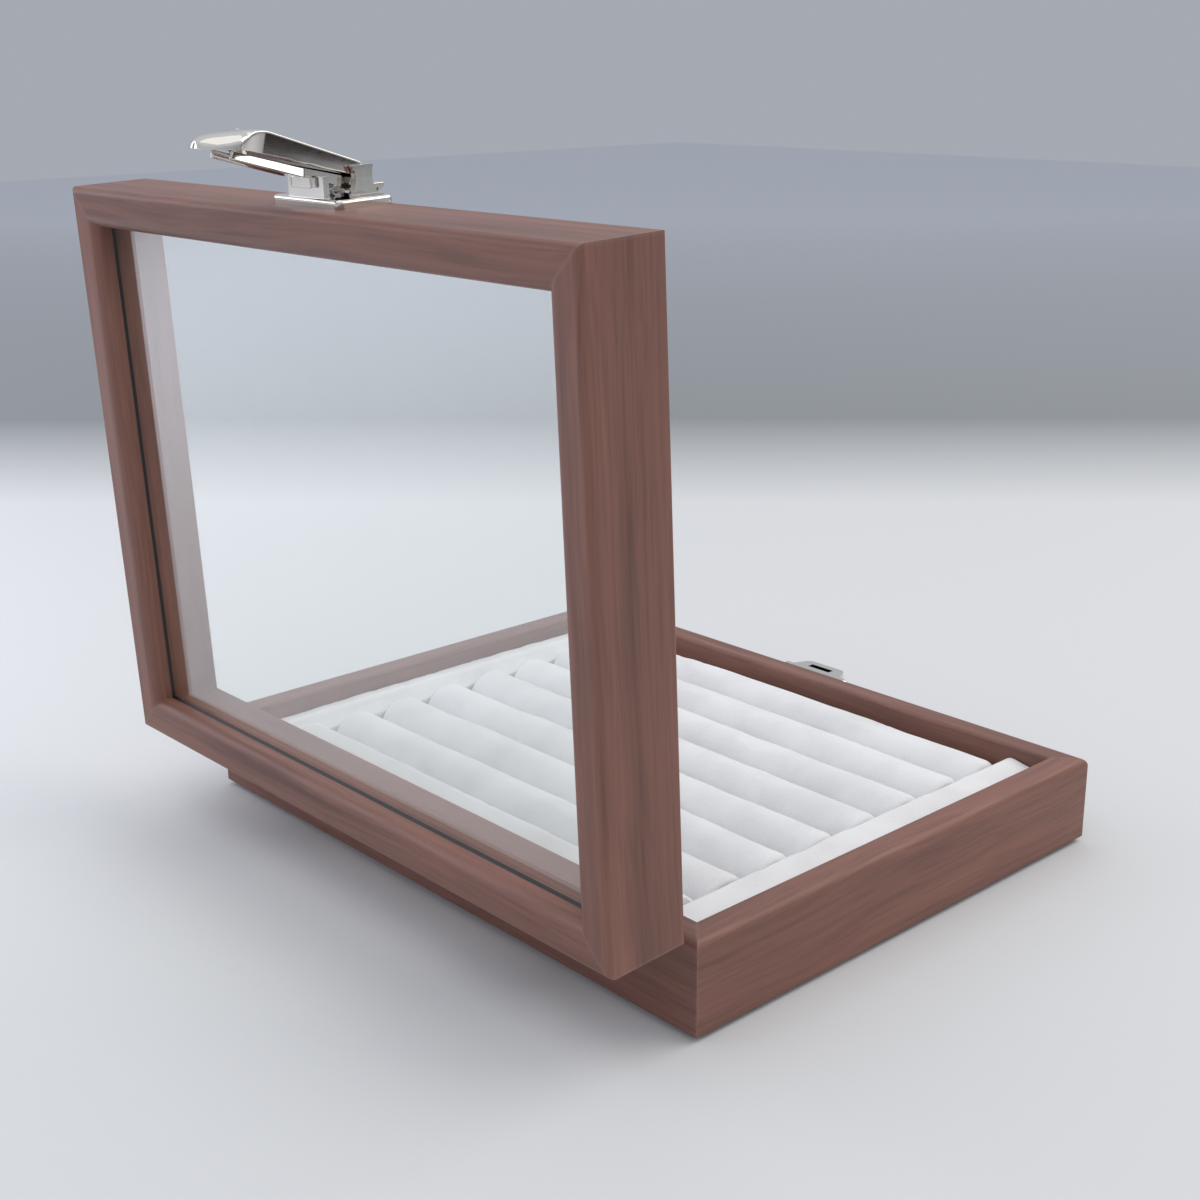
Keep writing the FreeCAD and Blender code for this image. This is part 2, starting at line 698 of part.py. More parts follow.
def make_clasp_plate():
    """The plate on the lid's front face, with two ears for the pin and a notched rear wall."""
    body = new_body("clasp_plate", True)
    low = "(%s + clasp_plate_lift)" % LID_RIM
    high = "(%s + clasp_plate_height)" % low
    middle = "%s - clasp_plate_thickness / 2" % FRONT
    half = "clasp_plate_width / 2"
    pad(body, "XZ_Plane", rectangle("-" + half, half, low, high), "clasp_plate_thickness",
        "-(%s)" % middle)
    corner_x, low_z, high_z = number(half), number(low), number(high)
    fillet(body, lambda edge: any(at(edge, x=sign * corner_x, z=level)
                                  for sign in (-1, 1) for level in (low_z, high_z)), "clasp_corner")
    face = number(PLATE_FACE)
    fillet(body, lambda edge: at(edge, y=face), "clasp_edge_round")
    for end in (-1, 1):
        pad(body, "YZ_Plane", ear_outline(), "ear_thickness",
            "%d * (bracket_width - ear_thickness) / 2" % end)
    wall_high = "(%s - clasp_edge_round)" % high
    wall_low = "(%s - rear_wall_thickness)" % wall_high
    sunk = "%s + clasp_plate_thickness / 2" % PLATE_FACE
    pad(body, "YZ_Plane", rectangle(sunk, "%s - rear_wall_height" % PLATE_FACE, wall_low, wall_high),
        "bracket_width")
    notch_floor = "%s - rear_notch_height" % PLATE_FACE
    pocket(body, "YZ_Plane", rectangle(notch_floor, "%s - 2 * rear_wall_height" % PLATE_FACE,
                                       "%s - rear_wall_thickness" % wall_low,
                                       "%s + rear_wall_thickness" % wall_high),
           "claw_width + 4 * lever_side_gap")
    pocket(body, "YZ_Plane", None, "2 * bracket_width", "0", [(PIN_Y, PIN_Z, "clasp_pin_radius")])
    screw_level = "%s + clasp_plate_height / 2" % low
    places = clasp_screw_places(screw_level)
    screw_holes(body, places, PLATE_FACE, "clasp_plate_thickness", -1)
    drill(parts["lid_front_rail"], places, FRONT, "2 * screw_length")
    make_screws("clasp_plate_screws", places, PLATE_FACE, -1, True)


def make_lever():
    """The lever: a channel-shaped arm from the pin, widening into a thick, down-curved bill."""
    body = new_body("clasp_lever", True)
    arm = [lever_point("-lever_heel", "-lever_skirt"), lever_point("arm_length", "-lever_skirt"),
           lever_point("arm_length", "lever_top"), lever_point("-lever_heel", "lever_top")]
    pad(body, "YZ_Plane", arm, LEVER_WIDTH)
    pad(body, "YZ_Plane", None, LEVER_WIDTH, "0", [(PIN_Y, PIN_Z, "lever_eye_radius")])
    length = "(bill_reach - arm_length)"
    crest = "(arm_length + %s / 3)" % length
    tip_top = lever_point("bill_reach", "-bill_drop + bill_tip_thickness")
    tip_low = lever_point("bill_reach", "-bill_drop")
    bill = [
        lever_point("arm_length - lever_wall", "lever_top - lever_wall"),
        lever_point("arm_length + lever_wall", "bill_crest")
        + (lever_point(crest + " + %s / 4" % length, "bill_crest - bill_fall"),),
        tip_top,
        tip_low + (lever_point(crest, "bill_crest - bill_thickness - lever_skirt"),),
        lever_point("arm_length - lever_wall", "-lever_skirt"),
    ]
    pad(body, "YZ_Plane", bill, "bill_width")
    half = number("bill_width / 2")
    tip = [[number(formula) for formula in corner] for corner in (tip_top, tip_low)]
    fillet(body, lambda edge: at(edge, x=half) and joins(edge, tip)
           or at(edge, x=-half) and joins(edge, tip), "bill_corner")
    heel = number(lever_point("arm_length - lever_wall", "0")[1])
    inner = number("%s / 2" % LEVER_WIDTH) + 0.01
    fillet(body, lambda edge: edge.CenterOfMass.z > heel and edge.Length > number("bill_tip_thickness")
           and max(abs(vertex.Point.x) for vertex in edge.Vertexes) > inner, "bill_edge_round")
    channel = [lever_point("-lever_heel * 2", "-lever_top"),
               lever_point("arm_length - 3 * lever_wall", "-lever_top"),
               lever_point("arm_length - 3 * lever_wall", "lever_top - lever_wall"),
               lever_point("-lever_heel * 2", "lever_top - lever_wall")]
    pocket(body, "YZ_Plane", channel, "%s - 2 * lever_wall" % LEVER_WIDTH)
    bed = [lever_point("0", "-2 * lever_top"), lever_point("claw_arm_length + claw_play", "-2 * lever_top"),
           lever_point("claw_arm_length + claw_play", "claw_arm_roof"), lever_point("0", "claw_arm_roof")]
    pocket(body, "YZ_Plane", bed, "claw_width + 2 * claw_play")
    pocket(body, "YZ_Plane", None, "bracket_width", "0",
           [(PIN_Y, PIN_Z, "clasp_pin_radius + pin_play")])
    rivet_hole(body)


def joins(edge, ends):
    """True when the edge runs between two (y, z) places."""
    return all(any(abs(vertex.Point.y - y) < 1e-4 and abs(vertex.Point.z - z) < 1e-4 for y, z in ends)
               for vertex in edge.Vertexes) and len(edge.Vertexes) == 2


def claw_arm_under(level):
    """Y formula of the claw arm's underside at this height above the lid's rim."""
    sine, cosine = "sin(lever_rise * 1 deg)", "cos(lever_rise * 1 deg)"
    along = "((%s - lever_pin_up - claw_arm_depth * %s) / %s)" % (level, sine, cosine)
    return "(%s - %s * %s + claw_arm_depth * %s)" % (PIN_Y, along, sine, cosine)


def make_claw():
    """The claw arm inside the lever: a bar, its boss round the pin, and the claw past the rim."""
    body = new_body("clasp_claw", True)
    bar = [lever_point("0", "-claw_arm_depth"),
           lever_point("claw_arm_length - claw_arm_depth", "-claw_arm_depth"),
           lever_point("claw_arm_length", "0"), lever_point("claw_arm_length", "claw_arm_roof"),
           lever_point("0", "claw_arm_roof")]
    pad(body, "YZ_Plane", bar, "claw_width")
    pad(body, "YZ_Plane", None, "claw_width", "0",
        [(PIN_Y, PIN_Z, "lever_top - lever_wall - claw_play")])
    inner = "%s - claw_out" % FRONT
    outer = "%s - claw_thickness" % inner
    hook_top = "(%s - lip_thickness - barb_play)" % CATCH_TOP
    hook_low = "(%s - barb_height)" % hook_top
    claw = [(inner, PIN_Z), (outer, PIN_Z), (outer, hook_low), (inner, hook_low),
            ("%s + barb_depth" % inner, "%s - barb_height / 3" % hook_top),
            ("%s + barb_depth" % inner, hook_top), (inner, hook_top)]
    pad(body, "YZ_Plane", claw, "claw_width")
    heel = [lever_point("-claw_arm_depth / 2", "-claw_arm_depth"),
            lever_point("claw_thickness", "-claw_arm_depth"), lever_point("claw_thickness", "0"),
            lever_point("-claw_arm_depth / 2", "0")]
    pad(body, "YZ_Plane", heel, "claw_width")
    pocket(body, "YZ_Plane", None, "2 * claw_width", "0",
           [(PIN_Y, PIN_Z, "clasp_pin_radius + pin_play")])
    rivet_hole(body)


def rivet_sketch(body, radius):
    """A circle round the rivet's axis, on a plane square to the lever's length and width."""
    sketch = new_sketch(body, "XZ_Plane")
    foot = lever_point("rivet_place", "0")
    sketch.AttachmentOffset = FreeCAD.Placement(V(0, 1, 1), FreeCAD.Rotation(V(1, 0, 0), 20))
    bind(sketch, "AttachmentOffset.Rotation.Angle", "lever_rise * 1 deg")
    bind(sketch, "AttachmentOffset.Base.y", foot[1])
    bind(sketch, "AttachmentOffset.Base.z", "-(%s)" % foot[0])
    draw_circle(sketch, "0", "0", radius)
    return sketch


def rivet_hole(body):
    """The rivet's hole across the lever."""
    before = body.Shape.Volume
    finish_feature(body, body.newObject("PartDesign::Pocket", "pocket"),
                   rivet_sketch(body, "rivet_radius"), "6 * lever_top")
    if not body.Shape.Volume < before:
        raise ValueError("the rivet's hole of %s cuts nothing" % body.Label)


def make_rivet():
    """The rivet that joins the claw arm to the lever, its end a little below the bill's top."""
    body = new_body("clasp_rivet", True)
    shank = body.newObject("PartDesign::Pad", "shank")
    shank.Profile = rivet_sketch(body, "rivet_radius")
    shank.SideType = "Two sides"
    bind(shank, "Length", "bill_crest - rivet_recess")
    bind(shank, "Length2", "claw_arm_depth")
    doc.recompute()
    return body


def make_clasp_small_parts():
    """The pin through the ears, and the leaf spring that holds the lever out."""
    pin = new_body("clasp_pin", True)
    pad(pin, "YZ_Plane", None, "bracket_width", "0", [(PIN_Y, PIN_Z, "clasp_pin_radius")])
    spring = new_body("clasp_spring", True)
    level = "(%s + spring_place)" % LID_RIM
    floor = PLATE_FACE
    head = "(%s + spring_play)" % claw_arm_under("spring_place")
    half_way = "(%s + %s) / 2" % (floor, head)
    outline = [
        (floor, "%s - spring_foot" % level),
        ("%s - spring_thickness" % floor, "%s - spring_foot" % level),
        ("%s - spring_thickness" % floor, level, (half_way, "%s + spring_foot / 3" % level)),
        ("%s + spring_thickness" % head, level),
        (head, level),
        (head, "%s + spring_thickness" % level,
         (half_way, "%s + spring_foot / 3 + spring_thickness" % level)),
        (floor, "%s + spring_thickness" % level),
    ]
    pad(spring, "YZ_Plane", outline, "spring_width")


def make_catch():
    """The catch on the base's front: a screwed plate and a hollow housing with a slot in its top."""
    body = new_body("catch_plate")
    low = "(%s - catch_height)" % CATCH_TOP
    half = "catch_width / 2"
    face = "(%s - catch_thickness)" % FRONT
    middle = "%s - catch_thickness / 2" % FRONT
    pad(body, "XZ_Plane", rectangle("-" + half, half, low, CATCH_TOP), "catch_thickness",
        "-(%s)" % middle)
    corner_x, low_z, high_z = number(half), number(low), number(CATCH_TOP)
    fillet(body, lambda edge: any(at(edge, x=sign * corner_x, z=level)
                                  for sign in (-1, 1) for level in (low_z, high_z)), "clasp_corner")
    nose = "(%s - housing_out)" % FRONT
    root = "(%s - catch_thickness / 2)" % FRONT
    plan = [("-housing_width / 2", root), ("housing_width / 2", root),
            ("housing_nose_width / 2", nose), ("-housing_nose_width / 2", nose)]
    pad(body, "XY_Plane", plan, "housing_height", "%s - housing_height / 2" % CATCH_TOP)
    nose_y, nose_x = number(nose), number("housing_nose_width / 2")
    fillet(body, lambda edge: at(edge, x=nose_x, y=nose_y) or at(edge, x=-nose_x, y=nose_y),
           "housing_wall * 2")
    slot_in = "%s - claw_out + barb_play" % FRONT
    swing = "((lever_pin_up + rim_gap + catch_drop + lip_thickness) * sin(lever_travel * 1 deg))"
    slot_out = "%s - claw_out - claw_thickness - %s - barb_play" % (FRONT, swing)
    slot_half = "(claw_width / 2 + 3 * lever_side_gap)"
    pocket(body, "XY_Plane", rectangle("-" + slot_half, slot_half, slot_in, slot_out),
           "4 * lip_thickness", CATCH_TOP)
    cave_out = "%s + housing_wall" % nose
    cave_low = "%s - housing_height" % CATCH_TOP
    cave_middle = "(%s - lip_thickness + %s - housing_wall) / 2" % (CATCH_TOP, cave_low)
    pocket(body, "XY_Plane", rectangle("-" + slot_half, slot_half, face, cave_out),
           "housing_height - lip_thickness + housing_wall", cave_middle)
    places = clasp_screw_places("%s - catch_height / 2" % CATCH_TOP)
    screw_holes(body, places, face, "catch_thickness", -1)
    drill(parts["base_front_rail"], places, FRONT, "2 * screw_length")
    make_screws("catch_screws", places, face, -1)


make_base_frame()
make_tray()
make_lid_frame()
make_hinges()
make_clasp_plate()
make_lever()
make_claw()
make_rivet()
make_clasp_small_parts()
make_catch()

doc.recompute()
for thing in doc.Objects:
    if "Invalid" in thing.State or "Error" in thing.State:
        raise ValueError("%s failed: %s" % (thing.Label, thing.State))
for label, piece in parts.items():
    if piece.Shape.isNull() or not piece.Shape.isValid():
        raise ValueError("%s has no valid shape" % label)

os.makedirs("parts", exist_ok=True)
for label, piece in parts.items():
    piece.Shape.exportStep("parts/%s.step" % label)
print("%d pieces" % len(parts))
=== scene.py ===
"""Glass-lidded ring box: the finishes, the velvet tray and the pressed-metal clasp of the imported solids.

The row frame: X runs along the hinge line, -Y is the clasp side, +Z is up, and the origin is the centre
of the underside. Lengths are metres. Lid pieces are worked out as if the lid were shut, and then turned
open about the hinge line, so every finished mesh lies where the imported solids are.
"""

import logging
import math
from dataclasses import dataclass, field
from enum import Enum

import bmesh
import bpy
import numpy as np
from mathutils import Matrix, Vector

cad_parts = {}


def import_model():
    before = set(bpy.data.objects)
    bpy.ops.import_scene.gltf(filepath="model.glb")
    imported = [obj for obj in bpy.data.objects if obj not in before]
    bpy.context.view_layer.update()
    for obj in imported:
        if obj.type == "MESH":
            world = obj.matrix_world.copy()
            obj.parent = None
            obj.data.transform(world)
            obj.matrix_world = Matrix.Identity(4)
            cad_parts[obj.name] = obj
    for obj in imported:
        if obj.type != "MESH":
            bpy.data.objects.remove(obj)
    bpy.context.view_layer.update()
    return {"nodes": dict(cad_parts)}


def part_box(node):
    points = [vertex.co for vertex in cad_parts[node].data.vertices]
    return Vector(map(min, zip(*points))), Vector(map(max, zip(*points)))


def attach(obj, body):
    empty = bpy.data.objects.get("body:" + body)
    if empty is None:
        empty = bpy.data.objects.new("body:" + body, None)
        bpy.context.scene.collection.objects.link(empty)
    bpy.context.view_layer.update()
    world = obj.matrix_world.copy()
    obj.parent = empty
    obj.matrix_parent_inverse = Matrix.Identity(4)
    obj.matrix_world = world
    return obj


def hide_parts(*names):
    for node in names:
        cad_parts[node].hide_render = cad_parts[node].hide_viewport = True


LOG = logging.getLogger("ring_box")
MM = 0.001


class Grain(Enum):
    """Which way a rail's wood grain runs, as the turn about Z that brings it onto X."""

    ALONG_X = 0.0
    ALONG_Y = math.pi / 2


@dataclass(frozen=True)
class BoxSizes:
    """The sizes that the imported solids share, in metres."""

    width: float = 200 * MM
    depth: float = 153.5 * MM
    wall: float = 8 * MM
    rim: float = 25 * MM
    lid_rim: float = 25.3 * MM
    lid_top: float = 47.8 * MM
    hinge_y: float = 79.35 * MM
    hinge_z: float = 24.3 * MM
    open_angle: float = math.radians(92.5)
    lip_under: float = 41.9 * MM
    sight_half_width: float = 90 * MM
    sight_half_depth: float = 66.75 * MM
    soft_floor: float = 5.3 * MM
    soft_gap: float = 0.3 * MM

    @property
    def inner_half_width(self) -> float:
        """Half the width between the side walls."""
        return self.width / 2 - self.wall

    @property
    def inner_half_depth(self) -> float:
        """Half the depth between the front and back walls."""
        return self.depth / 2 - self.wall

    def opened(self, points: np.ndarray) -> np.ndarray:
        """Turn points of the shut lid about the hinge line to where the open lid has them.

        Args:
            points: array of any shape whose last axis is X, Y, Z of the shut lid.

        Returns:
            The same shape, with Y' = hy + v cos a + w sin a and Z' = hz - v sin a + w cos a, where v and
            w are Y and Z measured from the hinge line and a is the opening angle.
        """
        turned = np.array(points, float)
        v = turned[..., 1] - self.hinge_y
        w = turned[..., 2] - self.hinge_z
        cosine, sine = math.cos(self.open_angle), math.sin(self.open_angle)
        turned[..., 1] = self.hinge_y + v * cosine + w * sine
        turned[..., 2] = self.hinge_z - v * sine + w * cosine
        return turned


SIZES = BoxSizes()


# Colours and nodes


def linear(hex_colour: str, alpha: float = 1.0) -> tuple[float, float, float, float]:
    """Turn an sRGB hex colour into Blender's linear colour.

    Args:
        hex_colour: six hex digits with a leading hash.
        alpha: the fourth channel.

    Returns:
        Red, green, blue and alpha in linear light.
    """
    channels = [int(hex_colour[at:at + 2], 16) / 255 for at in (1, 3, 5)]
    scaled = [c / 12.92 if c <= 0.04045 else ((c + 0.055) / 1.055) ** 2.4 for c in channels]
    return (*scaled, alpha)


def add_node(tree: bpy.types.NodeTree, kind: str, settings: dict | None = None,
             links: dict | None = None) -> bpy.types.Node:
    """Add one node with its settings and its incoming links.

    Args:
        tree: the node tree.
        kind: the node's type name.
        settings: values by property name, or by input name or number.
        links: source sockets by input name or number.

    Returns:
        The new node.
    """
    node = tree.nodes.new(kind)
    for key, value in (settings or {}).items():
        if isinstance(key, str) and hasattr(node, key):
            setattr(node, key, value)
        else:
            node.inputs[key].default_value = value
    for key, socket in (links or {}).items():
        tree.links.new(socket, node.inputs[key])
    return node


def blank_material(name: str) -> tuple[bpy.types.Material, bpy.types.NodeTree]:
    """A material with an empty node tree."""
    material = bpy.data.materials.new(name)
    material.use_nodes = True
    material.node_tree.nodes.clear()
    return material, material.node_tree


def colour_steps(tree: bpy.types.NodeTree, value: bpy.types.NodeSocket,
                 steps: list[tuple[float, str]]) -> bpy.types.NodeSocket:
    """Colour a value through a ramp.

    Args:
        tree: the node tree.
        value: the value to colour.
        steps: places from 0 to 1 with their hex colours.

    Returns:
        The ramp's colour socket.
    """
    ramp = add_node(tree, "ShaderNodeValToRGB", links={"Fac": value})
    elements = ramp.color_ramp.elements
    while len(elements) < len(steps):
        elements.new(0.5)
    for element, (place, colour) in zip(elements, steps):
        element.position = place
        element.color = linear(colour)
    return ramp.outputs["Color"]


@dataclass(frozen=True)
class WalnutFoil:
    """Walnut-print foil wrapped over fibreboard rails, with a satin lacquer.

    The print gives long brown streaks a few millimetres wide with finer dark lines in them, running
    along each rail, and the lacquer a soft sheen that pales the arrises. The foil is folded at each
    mitre, which leaves a thin paler line there.
    """

    name: str
    grain: Grain
    shut_turn: float = 0.0
    shut_place: tuple[float, float, float] = (0.0, 0.0, 0.0)
    shift: float = 0.0
    band_width: float = 11 * MM
    streak_width: float = 2.6 * MM
    line_width: float = 0.8 * MM
    stretch: float = 26.0
    roughness: float = 0.46

    def build(self) -> bpy.types.Material:
        """Make the foil's material."""
        material, tree = blank_material(self.name)
        place = add_node(tree, "ShaderNodeTexCoord").outputs["Object"]
        shut = add_node(tree, "ShaderNodeMapping", {
            "Rotation": (self.shut_turn, 0, 0), "Location": self.shut_place}, {"Vector": place})
        along = add_node(tree, "ShaderNodeMapping", {
            "Rotation": (0, 0, self.grain.value), "Location": (self.shift, self.shift / 3, 0)},
            {"Vector": shut.outputs[0]})
        warp = add_node(tree, "ShaderNodeTexNoise", {"Scale": 14.0, "Detail": 1.0},
                        {"Vector": along.outputs[0]})
        sway = add_node(tree, "ShaderNodeVectorMath", {"operation": "MULTIPLY_ADD", 1: (0, 0.006, 0.006)},
                        {0: warp.outputs["Color"], 2: along.outputs[0]})
        layers = []
        for width, detail, stretch in ((self.band_width, 2.0, self.stretch / 2),
                                       (self.streak_width, 3.0, self.stretch),
                                       (self.line_width, 2.0, self.stretch * 1.6)):
            scaled = add_node(tree, "ShaderNodeVectorMath", {
                "operation": "MULTIPLY", 1: (1 / (width * stretch), 1 / width, 1 / width)},
                {0: sway.outputs[0]})
            noise = add_node(tree, "ShaderNodeTexNoise", {"Scale": 1.0, "Detail": detail, "Roughness": 0.55},
                             {"Vector": scaled.outputs[0]})
            layers.append(noise.outputs["Fac"])
        bands, streaks, lines = layers
        mixed = add_node(tree, "ShaderNodeMix", {"data_type": "FLOAT", "Factor": 0.45},
                         {"A": bands, "B": streaks})
        brown = colour_steps(tree, mixed.outputs[0], [
            (0.30, "#5f4037"), (0.45, "#775146"), (0.56, "#80574b"), (0.72, "#8b6052")])
        line_dark = add_node(tree, "ShaderNodeMapRange", {
            "From Min": 0.36, "From Max": 0.56, "To Min": 0.87, "To Max": 1.04}, {"Value": lines})
        toned = add_node(tree, "ShaderNodeMix", {"data_type": "RGBA", "blend_type": "MULTIPLY", "Factor": 1.0},
                         {6: brown, 7: line_dark.outputs[0]})
        coloured = self.mitre_line(tree, shut.outputs[0], toned.outputs[2])
        bump = add_node(tree, "ShaderNodeBump", {"Strength": 0.18, "Distance": 0.05 * MM}, {"Height": lines})
        shader = add_node(tree, "ShaderNodeBsdfPrincipled", {
            "Roughness": self.roughness, "IOR": 1.45},
            {"Base Color": coloured, "Normal": bump.outputs[0]})
        add_node(tree, "ShaderNodeOutputMaterial", links={"Surface": shader.outputs[0]})
        return material

    def mitre_line(self, tree: bpy.types.NodeTree, place: bpy.types.NodeSocket,
                   colour: bpy.types.NodeSocket) -> bpy.types.NodeSocket:
        """Pale the colour along the mitres, where |W/2 - |x|| equals |D/2 - |y||.

        Args:
            tree: the node tree.
            place: the place on the shut box.
            colour: the foil's colour.

        Returns:
            The colour with a thin paler line at each mitre.
        """
        axes = add_node(tree, "ShaderNodeSeparateXYZ", links={"Vector": place})
        gaps = []
        for axis, half in (("X", SIZES.width / 2), ("Y", SIZES.depth / 2)):
            size = add_node(tree, "ShaderNodeMath", {"operation": "ABSOLUTE"}, {0: axes.outputs[axis]})
            gaps.append(add_node(tree, "ShaderNodeMath", {"operation": "SUBTRACT", 0: half},
                                 {1: size.outputs[0]}).outputs[0])
        apart = add_node(tree, "ShaderNodeMath", {"operation": "SUBTRACT"}, {0: gaps[0], 1: gaps[1]})
        off = add_node(tree, "ShaderNodeMath", {"operation": "ABSOLUTE"}, {0: apart.outputs[0]})
        near = add_node(tree, "ShaderNodeMapRange", {
            "From Min": 0.15 * MM, "From Max": 0.8 * MM, "To Min": 0.14, "To Max": 0.0},
            {"Value": off.outputs[0]})
        mixed = add_node(tree, "ShaderNodeMix", {"data_type": "RGBA", 7: linear("#a08a80")},
                         {"Factor": near.outputs[0], 6: colour})
        return mixed.outputs[2]


@dataclass(frozen=True)
class VelvetPile:
    """White short-pile velvet glued over foam: matt, with a soft halo and faint brushed patches."""

    name: str
    base: str = "#e3e3e4"
    shade: str = "#d8d7d8"
    pile: float = 0.35 * MM
    patch: float = 16 * MM

    def build(self) -> bpy.types.Material:
        """Make the velvet's material; the pile is drawn at about twice its real grain so that it shows."""
        material, tree = blank_material(self.name)
        place = add_node(tree, "ShaderNodeTexCoord").outputs["Object"]
        patches = add_node(tree, "ShaderNodeTexNoise", {"Scale": 1 / self.patch, "Detail": 2.0},
                           {"Vector": place})
        nap = add_node(tree, "ShaderNodeTexNoise", {"Scale": 1 / self.pile, "Detail": 1.0}, {"Vector": place})
        mixed = add_node(tree, "ShaderNodeMix", {"data_type": "FLOAT", "Factor": 0.35},
                         {"A": patches.outputs["Fac"], "B": nap.outputs["Fac"]})
        colour = colour_steps(tree, mixed.outputs[0], [(0.36, self.shade), (0.58, self.base)])
        bump = add_node(tree, "ShaderNodeBump", {"Strength": 0.35, "Distance": 0.12 * MM},
                        {"Height": nap.outputs["Fac"]})
        shader = add_node(tree, "ShaderNodeBsdfPrincipled", {
            "Roughness": 0.95, "Specular IOR Level": 0.15, "Sheen Weight": 0.25, "Sheen Roughness": 0.5,
            "Sheen Tint": linear("#faf9fa")}, {"Base Color": colour, "Normal": bump.outputs[0]})
        add_node(tree, "ShaderNodeOutputMaterial", links={"Surface": shader.outputs[0]})
        return material


@dataclass(frozen=True)
class ClearPane:
    """Clear float glass, 2 mm thick: faint green tint, sharp reflections, and lamps shine through it."""

    name: str = "clear_float_glass"
    tint: str = "#f8fbfa"

    def build(self) -> bpy.types.Material:
        """Make the pane's material."""
        material, tree = blank_material(self.name)
        glass = add_node(tree, "ShaderNodeBsdfPrincipled", {
            "Base Color": linear(self.tint), "Roughness": 0.0, "IOR": 2.0, "Transmission Weight": 1.0})
        through = add_node(tree, "ShaderNodeBsdfTransparent", {"Color": linear(self.tint)})
        rays = add_node(tree, "ShaderNodeLightPath")
        mixed = add_node(tree, "ShaderNodeMixShader", links={
            0: rays.outputs["Is Shadow Ray"], 1: glass.outputs[0], 2: through.outputs[0]})
        add_node(tree, "ShaderNodeOutputMaterial", links={"Surface": mixed.outputs[0]})
        return material


@dataclass(frozen=True)
class PlatedSteel:
    """Stamped steel with a bright nickel plate: mirror-like, with the press tool's faint waviness."""

    name: str
    colour: str = "#d9d4cd"
    roughness: float = 0.08
    wave: float = 5 * MM
    scratch: float = 0.25 * MM

    def build(self) -> bpy.types.Material:
        """Make the plate's material."""
        material, tree = blank_material(self.name)
        place = add_node(tree, "ShaderNodeTexCoord").outputs["Object"]
        waves = add_node(tree, "ShaderNodeTexNoise", {"Scale": 1 / self.wave, "Detail": 1.0}, {"Vector": place})
        rubs = add_node(tree, "ShaderNodeTexNoise", {"Scale": 1 / self.scratch, "Detail": 2.0},
                        {"Vector": place})
        rough = add_node(tree, "ShaderNodeMapRange", {
            "From Min": 0.3, "From Max": 0.7, "To Min": self.roughness * 0.7, "To Max": self.roughness * 1.5},
            {"Value": rubs.outputs["Fac"]})
        bump = add_node(tree, "ShaderNodeBump", {"Strength": 0.1, "Distance": 0.05 * MM},
                        {"Height": waves.outputs["Fac"]})
        shader = add_node(tree, "ShaderNodeBsdfPrincipled", {
            "Base Color": linear(self.colour), "Metallic": 1.0},
            {"Roughness": rough.outputs[0], "Normal": bump.outputs[0]})
        add_node(tree, "ShaderNodeOutputMaterial", links={"Surface": shader.outputs[0]})
        return material


@dataclass(frozen=True)
class PlainSheet:
    """A dull backing sheet, such as paper-faced board or felt, with fibres of one size in it."""

    name: str
    dark: str
    light: str
    fibre: float
    roughness: float
    bump: float

    def build(self) -> bpy.types.Material:
        """Make the sheet's material."""
        material, tree = blank_material(self.name)
        place = add_node(tree, "ShaderNodeTexCoord").outputs["Object"]
        fibres = add_node(tree, "ShaderNodeTexNoise", {"Scale": 1 / self.fibre, "Detail": 3.0},
                          {"Vector": place})
        colour = colour_steps(tree, fibres.outputs["Fac"], [(0.35, self.dark), (0.65, self.light)])
        bump = add_node(tree, "ShaderNodeBump", {"Strength": 0.4, "Distance": self.bump},
                        {"Height": fibres.outputs["Fac"]})
        shader = add_node(tree, "ShaderNodeBsdfPrincipled", {"Roughness": self.roughness},
                          {"Base Color": colour, "Normal": bump.outputs[0]})
        add_node(tree, "ShaderNodeOutputMaterial", links={"Surface": shader.outputs[0]})
        return material


# Meshes


def solid_piece(name: str, vertices: np.ndarray, faces: list, material: bpy.types.Material,
                body: str, slot: str) -> bpy.types.Object:
    """Make a closed, smooth-shaded mesh piece that rides on a body.

    Args:
        name: the piece's name.
        vertices: N by 3 places in the row frame.
        faces: vertex numbers of each face.
        material: its finish.
        body: the body that it moves with.
        slot: the record's material slot; not used.

    Returns:
        The new object, at the origin, with its place in its mesh.
    """
    mesh = bpy.data.meshes.new(name)
    mesh.from_pydata(np.asarray(vertices, float).tolist(), [], faces)
    work = bmesh.new()
    work.from_mesh(mesh)
    bmesh.ops.recalc_face_normals(work, faces=work.faces[:])
    work.to_mesh(mesh)
    work.free()
    mesh.materials.append(material)
    mesh.polygons.foreach_set("use_smooth", np.ones(len(mesh.polygons), bool))
    mesh.update()
    piece = bpy.data.objects.new(name, mesh)
    bpy.context.scene.collection.objects.link(piece)
    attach(piece, body)
    return piece


def loft_faces(rings: int, around: int, offset: int = 0) -> list:
    """Faces of a closed loft: quads between rings, and a fan from a pole at each end.

    Args:
        rings: how many rings the loft has.
        around: how many points each ring has.
        offset: the number of the first vertex.

    Returns:
        The faces; the two poles come after the rings' points.
    """
    grid = np.arange(rings * around).reshape(rings, around) + offset
    quads = np.stack([grid[:-1], np.roll(grid[:-1], -1, 1), np.roll(grid[1:], -1, 1), grid[1:]], -1)
    start, end = rings * around + offset, rings * around + offset + 1
    first = np.stack([np.roll(grid[0], -1), grid[0], np.full(around, start)], -1)
    last = np.stack([grid[-1], np.roll(grid[-1], -1), np.full(around, end)], -1)
    return quads.reshape(-1, 4).tolist() + first.tolist() + last.tolist()


